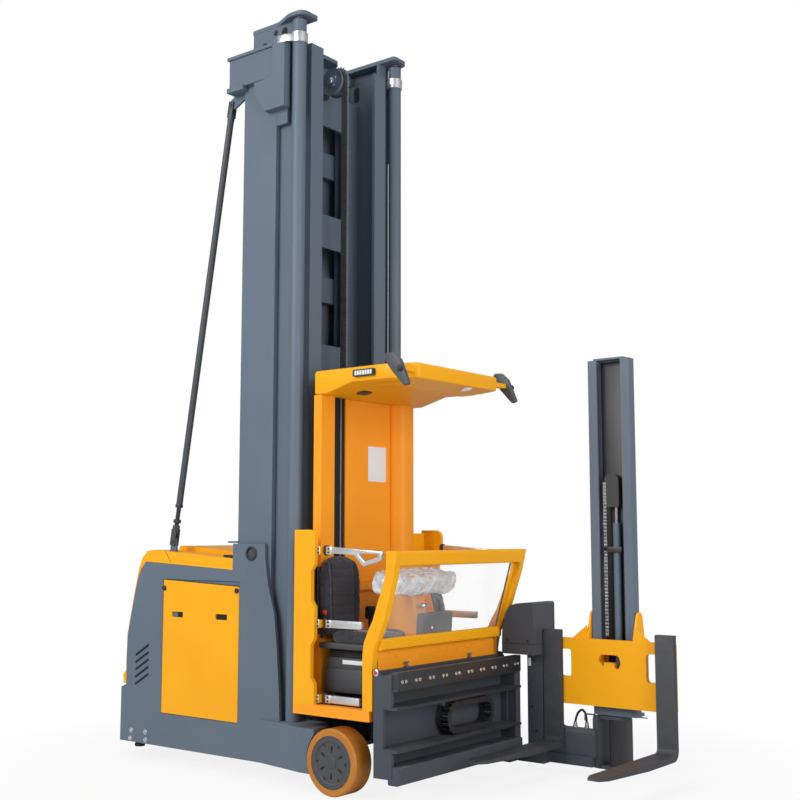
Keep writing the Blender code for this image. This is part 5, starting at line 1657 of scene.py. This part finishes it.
def chain_details():
    """Chain wheel with its bolts, and the leaf chain that runs over it."""
    x, z, r = -0.55, 4.56, 0.083
    wheel = Form().turned((x, -0.078, z), LEFT, [
        (0.0, 0.0), (0.04, 0.0), (0.042, 0.008), (0.07, 0.01), (r + 0.01, 0.006),
        (r + 0.012, 0.014), (r - 0.004, 0.018), (r - 0.004, 0.076), (r + 0.012, 0.08),
        (r + 0.01, 0.088), (0.045, 0.086), (0.0, 0.086)], 40)
    wheel.slab(-0.6782, x, -0.045, -0.015, z - 0.015, z + 0.015)
    wheel.piece("chain_wheel", "inner", "slate_paint")
    gather("chain_wheel_bolts", "inner", "bright_steel", [
        on_points("bolt", [(x, -0.0775, z)], RIGHT, 0.02),
        on_points("bolt", [(x + 0.036 * math.cos(a), -0.071, z + 0.036 * math.sin(a))
                                 for a in (0.6, 2.2, 3.7, 5.3)],
                  RIGHT, 0.0085)])
    path = [(x + r + 0.005, -0.03, 1.3 + 0.03 * k) for k in range(109)]
    for a, b in arc((x, z), r + 0.005, 6, 174, 24):
        path.append((a, -0.03, b))
    path += [(x - r - 0.005, -0.03, z - 0.03 * k) for k in range(1, 4)]
    chain = gather("leaf_chain", "inner", "chain_steel", [
        on_path("leaf", path, 0.0254)])
    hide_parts("lift_chain")


# Cab

def cab_details():
    cells = Form()
    for k in range(7):
        x = 0.044 + 0.0195 * k
        cells.prism("Y", oblong(x, 2.437, x + 0.016, 2.465, 0.003, 2),
                    -0.518, -0.5206, 0.0008, 1)
    cells.piece("lamp_cells", "cab", "clear_sheet", "lens")
    for name, side in SIDES:
        grip = Form().prism("Y", rounded([(0.326, 2.502, 0.022), (0.332, 2.541, 0.016),
                                          (0.392, 2.539, 0.022), (0.443, 2.492, 0.032),
                                          (0.506, 2.345, 0.013), (0.47, 2.335, 0.013),
                                          (0.378, 2.432, 0.032)]),
                            side * 0.557, side * 0.589, 0.008, 3)
        grip.piece("roof_grip_" + name, "cab", "grey_plastic", "grip_grey")
        knob = Form().turned((0.448, side * 0.5885, 2.44), (0, side, 0), [
            (0.0, 0.0), (0.02, 0.0), (0.02, 0.008), (0.013, 0.012), (0.013, 0.018),
            (0.0, 0.02)], 20)
        knob.piece("grip_knob_" + name, "cab", "black_plastic")
    slope = math.atan2(0.055, 0.2)
    oval = Form().prism("Z", oblong(-0.034, -0.058, 0.034, 0.058, 0.03, 8), -0.0025, 0.003,
                        0.001)
    oval.mesh.transform(Matrix.Translation((-0.11, -0.24, 2.37))
                        @ Matrix.Rotation(-slope, 4, "Y"))
    oval.piece("ceiling_speaker", "cab", "black_plastic")
    light = Form().turned((0.395, 0.154, 2.3925), (0.236, 0, -0.972), [
        (0.0, -0.004), (0.036, -0.004), (0.036, 0.003), (0.03, 0.006), (0.0, 0.007)], 28)
    light.piece("ceiling_light", "cab", "clear_sheet", "lens")
    plate = Form().slab(-0.2852, -0.2828, 0.012, 0.198, 1.83, 2.058, 0.0006)
    plate.piece("document_plate", "cab", "aluminium", "white_plate")
    # A black sheet fills the wall's slot as painted shade, hiding the carriage plates seen
    # through it
    slot = Form().slab(-0.2965, -0.2925, -0.372, -0.217, 0.645, 2.3435, 0.0005)
    slot.piece("back_slot", "cab", "black_plastic", "hole_shade_and_joint_black")
    guide = Form().slab(-0.2925, -0.2865, -0.262, -0.25, 0.645, 2.343, 0.001)
    guide.piece("back_slot_guide", "cab", "black_steel", "chain_steel")
    mat = Form().slab(-0.262, 0.254, -0.58, 0.58, 0.5002, 0.5055, 0.002)
    mat.piece("floor_mat", "cab", "black_plastic", "floor_mat")


def guard_details():
    rivets = [(0.334, -0.57 + 0.1036 * k, z) for k in range(12) for z in (0.851, 0.884)]
    low = [(0.29, -0.54 + 0.12 * k, 0.792) for k in range(10)]
    gather("guard_rivets", "cab", "yellow_paint", [
        on_points("rivet", rivets, FRONT, 0.0075),
        on_points("rivet", low, FRONT, 0.0095)])
    edge = Form()
    slope = Vector((0.12, 0, 0.409)).normalized()
    for y in (-0.5853, 0.5853):
        edge.pipe([Vector((0.3135, y, 0.903)), Vector((0.3135, y, 0.903)) + slope * 0.2,
                   Vector((0.4325, y, 1.307))], 0.0055, 8)
    edge.piece("pane_edge", "cab", "grey_plastic", "grip_grey")


def gate_details():
    for name, side in SIDES:
        out = (0, side, 0)
        body = "gate_%s_body" % name
        leaf = Form()
        fixed = Form()
        barrel = Form()
        moving_bolts, fixed_bolts = [], []
        for z in GATE_BARS:
            leaf.slab(-0.101, -0.058, side * 0.5992, side * 0.6025, z - 0.0225, z + 0.0225)
            fixed.slab(-0.1465, -0.1295, side * 0.6238, side * 0.6275, z - 0.024,
                       z + 0.024)
            barrel.turned((GATE_PIN_X, side * GATE_Y, z - 0.03), UP, [
                (0.0, 0.0), (0.0128, 0.0), (0.0128, 0.06), (0.0, 0.06)], 20)
            moving_bolts += [(-0.08, side * 0.6025, z - 0.011),
                             (-0.08, side * 0.6025, z + 0.011)]
            fixed_bolts += [(-0.138, side * 0.6275, z - 0.012),
                            (-0.138, side * 0.6275, z + 0.012)]
        leaf.piece("gate_leaves_" + name, body, "aluminium")
        fixed.piece("hinge_leaves_" + name, "cab", "aluminium")
        barrel.piece("gate_barrels_" + name, body, "black_steel")
        gather("gate_bolts_" + name, body, "black_steel", [
            on_points("socket", moving_bolts, out, 0.0062)])
        gather("hinge_bolts_" + name, "cab", "black_steel", [
            on_points("socket", fixed_bolts, out, 0.0055)])


def console_details():
    wrap = Form()
    wrap.prism("Y", rounded([(0.098, 1.138, 0.035), (0.286, 1.129, 0.035),
                             (0.341, 1.254, 0.04), (0.112, 1.287, 0.045)], 6),
               -0.432, 0.152, 0.02, 3)
    wrap = wrap.loose("desk_wrap")
    divide(wrap, 0.011)
    for vertex in wrap.data.vertices:
        place = vertex.co * 17.0
        drift = Vector((noise.noise(place), noise.noise(place + Vector((7, 1, 3))),
                        noise.noise(place + Vector((2, 9, 5)))))
        crease = abs(noise.noise(vertex.co * 34.0 + Vector((4, 4, 4))))
        vertex.co += drift * 0.012 - vertex.normal * 0.01 * crease
        vertex.co.z = min(vertex.co.z, 1.293)
    wrap.data.validate()
    wrap.data.transform(Matrix.Translation(SHIFT))
    settle(wrap, "cab", "film", 75)
    lever = Form().pipe([(0.235, 0.02, 1.12), (0.262, 0.045, 1.095), (0.268, 0.06, 1.05),
                         (0.262, 0.07, 1.005)], 0.016, 14)
    lever.prism("X", rounded([(-0.03, 1.165, 0.01), (0.075, 1.165, 0.01),
                              (0.1, 1.06, 0.02), (0.08, 1.0, 0.02),
                              (0.03, 1.01, 0.02)]), 0.232, 0.248, 0.003)
    lever.piece("desk_bracket", "cab", "grey_plastic", "grip_grey")
    knob = Form().turned((0.245, -0.1, 1.06), RIGHT, [
        (0.0, -0.05), (0.008, -0.05), (0.008, 0.0), (0.017, 0.002), (0.019, 0.012),
        (0.014, 0.022), (0.0, 0.025)], 22)
    knob.piece("desk_knob", "cab", "aluminium", "bright_steel")
    dot = Form().turned((0.2955, -0.083, 0.931), FRONT, [
        (0.0, 0.0), (0.009, 0.0), (0.009, 0.0025), (0.0, 0.0035)], 20)
    dot.piece("housing_button", "cab", "aluminium", "white_plate")
    top = Form().turned((0.409, -0.322, 1.34), (-1, 0, 0), [
        (0.0, -0.012), (0.01, -0.012), (0.01, 0.008), (0.02, 0.01), (0.021, 0.022),
        (0.016, 0.028), (0.0, 0.03)], 22)
    top.piece("guard_knob", "cab", "black_plastic")


def divide(item, step):
    """Cut a mesh's long edges until each is near the step."""
    mesh = bmesh.new()
    mesh.from_mesh(item.data)
    bmesh.ops.triangulate(mesh, faces=mesh.faces)
    for _ in range(7):
        long_edges = [edge for edge in mesh.edges if edge.calc_length() > step * 1.6]
        if not long_edges:
            break
        bmesh.ops.subdivide_edges(mesh, edges=long_edges, cuts=1)
        bmesh.ops.triangulate(mesh, faces=[f for f in mesh.faces if len(f.verts) > 3])
    mesh.to_mesh(item.data)
    mesh.free()


# Seat

def pad(name, size, crown, corner):
    """Closed crowned block, with its middle at the origin."""
    form = bmesh.new()
    bmesh.ops.create_cube(form, size=2.0)
    bmesh.ops.subdivide_edges(form, edges=form.edges, cuts=15, use_grid_fill=True)
    for vertex in form.verts:
        u, v, w = vertex.co
        p, q, r = ((abs(c) ** corner) for c in (u, v, w))
        scale = (p + q + r) ** (-1.0 / corner)
        flat = max(abs(u), abs(v), abs(w))
        pull = 1.0
        pull -= 0.06 * (1 - u * u) * (abs(v) > 0.99)
        pull -= 0.06 * (1 - v * v) * (abs(u) > 0.99)
        vertex.co = Vector((u, v, w)) * scale * flat
        swell = 1.0 + crown * (1 - min(1.0, u * u)) * (1 - min(1.0, v * v))
        vertex.co = Vector((vertex.co.x * size[0] * pull, vertex.co.y * size[1] * pull,
                            vertex.co.z * size[2] * swell))
    mesh = bpy.data.meshes.new(name)
    form.to_mesh(mesh)
    form.free()
    return placed(name, mesh)


def puff(item, voxel, cap, pressure=4.0):
    """Swell a pad with a cloth simulation, never more than the cap."""
    apply_modifier(item, "REMESH", mode="VOXEL", voxel_size=voxel)
    before = [vertex.co.copy() for vertex in item.data.vertices]
    scene = bpy.context.scene
    cloth = item.modifiers.new("swell", "CLOTH")
    cloth.settings.use_pressure = True
    cloth.settings.uniform_pressure_force = pressure
    cloth.settings.effector_weights.gravity = 0.0
    cloth.settings.quality = 5
    cloth.settings.tension_stiffness = 20
    cloth.point_cache.frame_start = 1
    cloth.point_cache.frame_end = 20
    for number in range(1, 21):
        scene.frame_set(number)
    graph = bpy.context.evaluated_depsgraph_get()
    mesh = bpy.data.meshes.new_from_object(item.evaluated_get(graph), depsgraph=graph)
    item.modifiers.clear()
    scene.frame_set(1)
    item.data = mesh
    for vertex, old in zip(item.data.vertices, before):
        step = vertex.co - old
        if step.length > cap:
            vertex.co = old + step * (cap / step.length)


def apply_modifier(item, kind, **settings):
    modifier = item.modifiers.new("work", kind)
    for key, value in settings.items():
        setattr(modifier, key, value)
    apply_modifiers(item)


def groove(distance, width):
    return math.exp(-(distance / width) ** 2)


def seat_pads():
    """Back with a channelled middle between bolsters, and the cushion to match."""
    back = pad("seat_back_pad", (0.031, 0.18, 0.236), 0.05, 3.6)
    puff(back, 0.006, 0.008)
    for vertex in back.data.vertices:
        x, y, z = vertex.co
        front = max(0.0, min(1.0, (x + 0.005) / 0.02))
        bolster = max(0.0, min(1.0, (abs(y) - 0.105) / 0.03))
        x += front * (0.016 * bolster - 0.004 * (1 - bolster))
        x -= front * 0.007 * groove(abs(y) - 0.108, 0.006)
        if abs(y) < 0.108:
            for k in range(7):
                x -= front * 0.006 * groove(z - (-0.165 + 0.055 * k), 0.0055)
        else:
            for k in range(3):
                x -= front * 0.004 * groove(z - (-0.11 + 0.11 * k), 0.005)
        vertex.co = (x, y, z)
    tilt = math.atan2(-0.012, 0.45)
    back.data.transform(Matrix.Translation((-0.193, -0.373, 1.115))
                        @ Matrix.Rotation(tilt, 4, "Y"))
    cushion = pad("seat_cushion_pad", (0.172, 0.196, 0.027), 0.14, 5.0)
    puff(cushion, 0.006, 0.008)
    for vertex in cushion.data.vertices:
        x, y, z = vertex.co
        top = max(0.0, min(1.0, (z - 0.004) / 0.014))
        bolster = max(0.0, min(1.0, (abs(y) - 0.115) / 0.03))
        z += top * (0.008 * bolster - 0.006 * (1 - bolster))
        z -= top * 0.006 * groove(abs(y) - 0.118, 0.006)
        if abs(y) < 0.118:
            for k in range(5):
                z -= top * 0.005 * groove(x - (-0.11 + 0.055 * k), 0.0055)
        vertex.co = (x, y, z)
    cushion.data.transform(Matrix.Translation((0.034, -0.3575, 0.881)))
    for item, node in ((back, "seat_back"), (cushion, "seat_cushion")):
        apply_modifier(item, "SUBSURF", levels=1, render_levels=1)
        item.data.transform(Matrix.Translation(SHIFT))
        settle(item, "cab", "seat_cloth", 180)
        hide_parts(node)


def seat_details():
    folds = Form()
    for k in range(4):
        z = 0.767 + 0.013 * k
        folds.prism("Z", oblong(-0.176, -0.492, 0.116, -0.208, 0.03),
                    z, z + 0.0098, 0.004, 2)
    folds.piece("seat_bellows", "cab", "black_plastic", "rubber")
    plate = Form().prism("Z", oblong(-0.182, -0.498, 0.119, -0.202, 0.012), 0.7003, 0.764,
                         0.004)
    plate.piece("seat_slide", "cab", "grey_plastic")
    label = Form().slab(-0.055, 0.1, -0.4995, -0.4978, 0.728, 0.752, 0.0005)
    label.piece("seat_label", "cab", "aluminium", "white_plate")
    shell = Form().prism("Y", rounded([(-0.236, 0.9, 0.01), (-0.214, 0.885, 0.01),
                                       (-0.22, 1.29, 0.02), (-0.2385, 1.3, 0.01)]),
                         -0.545, -0.17, 0.006)
    shell.piece("seat_shell", "cab", "black_plastic")
    buckle = Form().prism("Y", rounded([(-0.175, 0.88, 0.004), (-0.153, 0.874, 0.004),
                                        (-0.129, 1.0, 0.004), (-0.149, 1.006, 0.004)]),
                          -0.57, -0.558, 0.002)
    buckle.prism("Y", rounded([(-0.159, 0.996, 0.006), (-0.123, 0.994, 0.006),
                               (-0.113, 1.042, 0.008), (-0.149, 1.05, 0.008)]),
                 -0.574, -0.556, 0.003)
    buckle.piece("belt_buckle", "cab", "black_plastic")
    button = Form().prism("Y", rounded([(-0.15, 1.022, 0.003), (-0.12, 1.016, 0.003),
                                        (-0.116, 1.038, 0.003), (-0.146, 1.044, 0.003)]),
                          -0.5752, -0.572, 0.001)
    button.piece("belt_button", "cab", "black_plastic", "red_button")
    box = Form().prism("Y", rounded([(-0.18, 0.965, 0.012), (-0.085, 0.965, 0.012),
                                     (-0.088, 1.046, 0.016), (-0.176, 1.046, 0.016)]),
                       -0.146, -0.104, 0.005)
    box.slab(-0.155, -0.12, -0.176, -0.112, 0.822, 0.842)
    box.slab(-0.155, -0.12, -0.14, -0.118, 0.826, 0.975)
    box.piece("belt_reel", "cab", "black_plastic")


# Traverse frame

def traverse_details():
    rail = Form().prism("X", oblong(-0.6415, 0.621, 0.6415, 0.7232, 0.012), 0.4235, 0.4672,
                        0.003)
    rail.piece("traverse_rail", "cab", "black_steel")
    bolts = []
    for k in range(10):
        y = -0.585 + 0.13 * k
        bolts += [(0.4672, y - 0.017, 0.672), (0.4672, y + 0.017, 0.672)]
    gather("rail_bolts", "cab", "bright_steel", [
        on_points("socket", bolts, FRONT, 0.011)])
    slide = Form()
    for z in (0.296, 0.526):
        slide.slab(0.4645, 0.4685, -0.64, 0.64, z - 0.006, z + 0.006, 0.001)
    slide.piece("flange_wear_strips", "cab", "black_steel")
    button = Form().turned((0.318, -0.6462, 0.716), RIGHT, [
        (0.0, 0.0), (0.02, 0.0), (0.02, 0.003), (0.015, 0.006), (0.0, 0.006)], 24)
    button.piece("frame_button_ring", "cab", "aluminium", "bright_steel")
    red = Form().turned((0.318, -0.6522, 0.716), RIGHT, [
        (0.0, 0.0), (0.0115, 0.0), (0.011, 0.0035), (0.0, 0.0045)], 20)
    red.piece("frame_button", "cab", "grey_plastic", "red_button")
    screws = Form()
    for y in (-0.349, 0.3):
        screws.turned((0.31, y, 0.7232), UP, [
            (0.0, 0.0), (0.013, 0.0), (0.013, 0.006), (0.006, 0.008), (0.006, 0.026),
            (0.0, 0.026)], 14)
        screws.slab(0.306, 0.314, y - 0.02, y + 0.02, 0.7462, 0.754, 0.003)
    screws.piece("frame_screws", "cab", "slate_paint")
    path = [(0.38, y, z) for y, z in oblong(-0.075, 0.3255, 0.39, 0.4805, 0.0765, 12)]
    links = gather("energy_links", "cab", "black_plastic", [
        on_path("carrier", path, 0.0292, True)])
    tie = Form().slab(0.3203, 0.36, -0.06, 0.04, 0.47, 0.497)
    tie.piece("energy_tie", "cab", "slate_paint")
    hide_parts("energy_chain")


# Fork head

def turret_details():
    seam = Form().prism("Y", [(0.36, 0.796), (0.5925, 0.796), (0.5925, 0.799),
                              (0.36, 0.799)], 0.5896, 0.591)
    seam.prism("X", [(0.59, 0.796), (0.8584, 0.796), (0.8584, 0.799),
                     (0.59, 0.799)], 0.5905, 0.5924)
    seam.piece("turret_seam", "turret", "black_plastic", "hole_shade_and_joint_black")
    plate = Form().slab(0.484, 0.506, 0.6985, 0.7003, 0.652, 0.702, 0.0004)
    plate.piece("turret_plate", "turret", "aluminium", "white_plate")
    holes = [(0.404, 0.59, 0.818), (0.554, 0.59, 0.818), (0.53, 0.7, 0.69),
             (0.51, 0.7, 0.4), (0.545, 0.7, 0.25)]
    gather("turret_screws", "turret", "black_steel", [
        on_points("socket", holes, RIGHT, 0.0085),
        on_points("bolt", [(0.552, 0.7, 0.155)], RIGHT, 0.013)])
    hose = Form().pipe(spline([(0.772, 0.79, 0.27), (0.774, 0.79, 0.325),
                               (0.79, 0.795, 0.372), (0.818, 0.8, 0.392),
                               (0.843, 0.8, 0.36), (0.848, 0.8, 0.28)]), 0.0075, 12)
    hose.piece("beam_hose", "turret", "black_plastic", "rubber")
    ends = Form()
    for x, y, z in ((0.772, 0.79, 0.276), (0.848, 0.8, 0.276)):
        ends.turned((x, y, z), UP, [
            (0.0, 0.0), (0.015, 0.0), (0.015, 0.02), (0.012, 0.024), (0.012, 0.04),
            (0.0, 0.042)], 12)
    ends.piece("hose_ends", "turret", "aluminium", "bright_steel")
    tabs = Form().slab(0.835, 0.905, 0.79, 0.812, 0.366, 0.374)
    tabs.slab(0.835, 0.843, 0.79, 0.812, 0.33, 0.374)
    tabs.piece("sensor_tab", "turret", "slate_paint")


def head_details():
    x = 1.0
    path = [(x, 0.812, 0.865 + 0.02 * k) for k in range(48)]
    gather("head_chain", "ram", "chain_steel", [
        on_path("small", path, 0.021)])
    rod = Form().turned((1.065, 0.838, 1.56), UP, [
        (0.0115, -0.3), (0.0118, -0.3), (0.0118, 0.11), (0.0115, 0.11)], 20)
    rod.piece("head_rod_chrome", "ram", "aluminium", "chain_steel")
    sheet = Form().slab(0.912, 1.178, 0.8635, 0.868, 0.44, 2.59, 0.001)
    sheet.piece("head_back_sheet", "head", "black_steel")
    brace = Form().slab(0.985, 1.11, 0.806, 0.813, 1.376, 1.412)
    brace.piece("cylinder_brace", "head", "black_steel")
    sensor = Form().slab(1.1, 1.195, 0.799, 0.808, 0.376, 0.384)
    sensor.pipe([(1.18, 0.804, 0.38), (1.262, 0.804, 0.382)], 0.0035, 8)
    sensor.piece("head_sensor", "head", "slate_paint")
    base = Form()
    for side in (-1, 1):
        edge = 1.045 + side * 0.12
        base.slab(edge - 0.004, edge + 0.004, 0.792, 0.801, 0.385, 0.47)
    base.piece("mast_foot_ribs", "head", "slate_paint")


# Wheels

def wheel_details():
    for name, side in SIDES:
        out = (0, side, 0)
        body = "load_" + name
        face = side * 0.6572
        # Dark drops on the wheel face are painted shade in place of its holes
        gather("wheel_holes_" + name, body, "hole_shade_and_joint_black", [
            round_axle("drop", (0.0, face, WHEEL_R), out, 6, 0.074, 0.5)])
        small = [(0.106 * math.cos(a), face, WHEEL_R + 0.106 * math.sin(a))
                 for a in (0.0, 1.047, 2.094, 3.142, 4.189, 5.236)]
        gather("wheel_bolts_" + name, body, "black_steel", [
            on_points("socket", small, out, 0.0065)])
        cap = Form().turned((0.0, face, WHEEL_R), out, [
            (0.0, -0.004), (0.036, -0.004), (0.036, 0.002), (0.03, 0.0045),
            (0.0, 0.005)], 36)
        cap.piece("wheel_cap_" + name, body, "grey_plastic")


def tie_rod_details():
    for name, side in SIDES:
        _, foot, run = tie_line(side)
        nut = Form()
        for reach in (0.128, 0.232):
            place = foot + run * reach
            nut.turned(place, run, [(0.0, 0.0), (0.026, 0.0), (0.027, 0.004),
                                    (0.027, 0.018), (0.026, 0.022), (0.0, 0.022)], 6)
        nut.piece("tie_rod_nuts_" + name, "chassis", "black_steel")
        thread = Form()
        for k in range(22):
            place = foot + run * (0.116 + 0.006 * k)
            thread.turned(place, run, [(0.0, 0.0), (0.0142, 0.0), (0.0158, 0.0022),
                                       (0.0142, 0.0044), (0.0, 0.0044)], 14)
        thread.piece("tie_rod_threads_" + name, "chassis", "black_steel")


# Floor, lights and camera

def seen_by_camera(tree):
    """One for what the camera sees, also through the clear pane."""
    ray = tree.nodes.new("ShaderNodeLightPath").outputs
    return sums(tree, "MAXIMUM", ray["Is Camera Ray"], ray["Is Transmission Ray"])


def floor_material():
    """Pale floor that the camera sees as near white, with a faint shadow."""
    made, tree, shader = new_material("studio floor", {"Roughness": 0.9,
                                                       "Specular IOR Level": 0.0})
    where = tree.nodes.new("ShaderNodeTexCoord").outputs["Object"]
    tint = mixed(tree, speckle(tree, where, 0.8, 3.0), (0.6, 0.6, 0.605, 1),
                 (0.64, 0.64, 0.64, 1))
    tree.links.new(tint, shader.inputs["Base Color"])
    white = add(tree, "ShaderNodeEmission", {"Color": (1, 1, 1, 1), "Strength": 1.0})
    reach = add(tree, "ShaderNodeVectorMath", {0: where}, operation="LENGTH").outputs[1]
    far = ramp(tree, reach, 1.9, 3.2, 0.86, 1.0)
    seen = seen_by_camera(tree)
    mix = add(tree, "ShaderNodeMixShader", {0: sums(tree, "MULTIPLY", far, seen),
                                            1: shader.outputs[0], 2: white.outputs[0]})
    tree.links.new(mix.outputs[0], tree.nodes["Material Output"].inputs[0])
    return made


# Name, place, aim, size in metres and power in watts
LIGHTS = (("key", (-1.5, -9.0, 6.0), (-0.3, 0.0, 2.0), 5.0, 640.0),
          ("fill", (9.0, -2.0, 3.5), (0.3, 0.0, 1.5), 5.0, 420.0),
          ("top", (-0.5, -1.0, 15.5), (-0.5, 0.0, 0.0), 5.0, 560.0))
FLOOR_HALF = 30


def studio():
    mesh = bpy.data.meshes.new("studio_floor")
    mesh.from_pydata([(x * FLOOR_HALF, y * FLOOR_HALF, 0)
                      for x, y in ((-1, -1), (1, -1), (1, 1), (-1, 1))], [],
                     [(0, 1, 2, 3)])
    floor = placed("studio_floor", mesh)
    floor.data.materials.append(floor_material())
    world = bpy.data.worlds.new("studio")
    bpy.context.scene.world = world
    world.use_nodes = True
    tree = world.node_tree
    tree.nodes.clear()
    seen = seen_by_camera(tree)
    soft = add(tree, "ShaderNodeBackground", {"Color": (0.95, 0.98, 1.0, 1),
                                              "Strength": 0.42})
    white = add(tree, "ShaderNodeBackground", {"Color": (1, 1, 1, 1), "Strength": 1.0})
    mix = add(tree, "ShaderNodeMixShader", {0: seen, 1: soft.outputs[0],
                                            2: white.outputs[0]})
    out = tree.nodes.new("ShaderNodeOutputWorld")
    tree.links.new(mix.outputs[0], out.inputs[0])
    for name, place, aim, size, power in LIGHTS:
        data = bpy.data.lights.new(name, "AREA")
        data.size = size
        data.energy = power
        lamp = placed(name, data)
        lamp.location = place
        turn = (Vector(aim) - Vector(place)).to_track_quat("-Z", "Y")
        lamp.rotation_euler = turn.to_euler()


def camera():
    data = bpy.data.cameras.new("camera")
    data.lens = 52.62
    data.sensor_width = 36.0
    data.clip_end = 200.0
    item = placed("camera", data)
    item.location = (4.784, -5.9637, 1.4848)
    item.rotation_euler = (math.radians(96.585), 0.0, math.radians(37.84))
    bpy.context.scene.camera = item


def main():
    for make in (camera, studio, dress_nodes, rigid_forms, tail_details, tie_rod_details,
                 mast_details, chain_details, cab_details, guard_details, gate_details,
                 console_details, seat_pads, seat_details, traverse_details,
                 turret_details, head_details, wheel_details):
        make()
    for item in PART.values():
        bpy.data.objects.remove(item, do_unlink=True)
    bpy.context.scene.view_settings.view_transform = "Standard"


main()
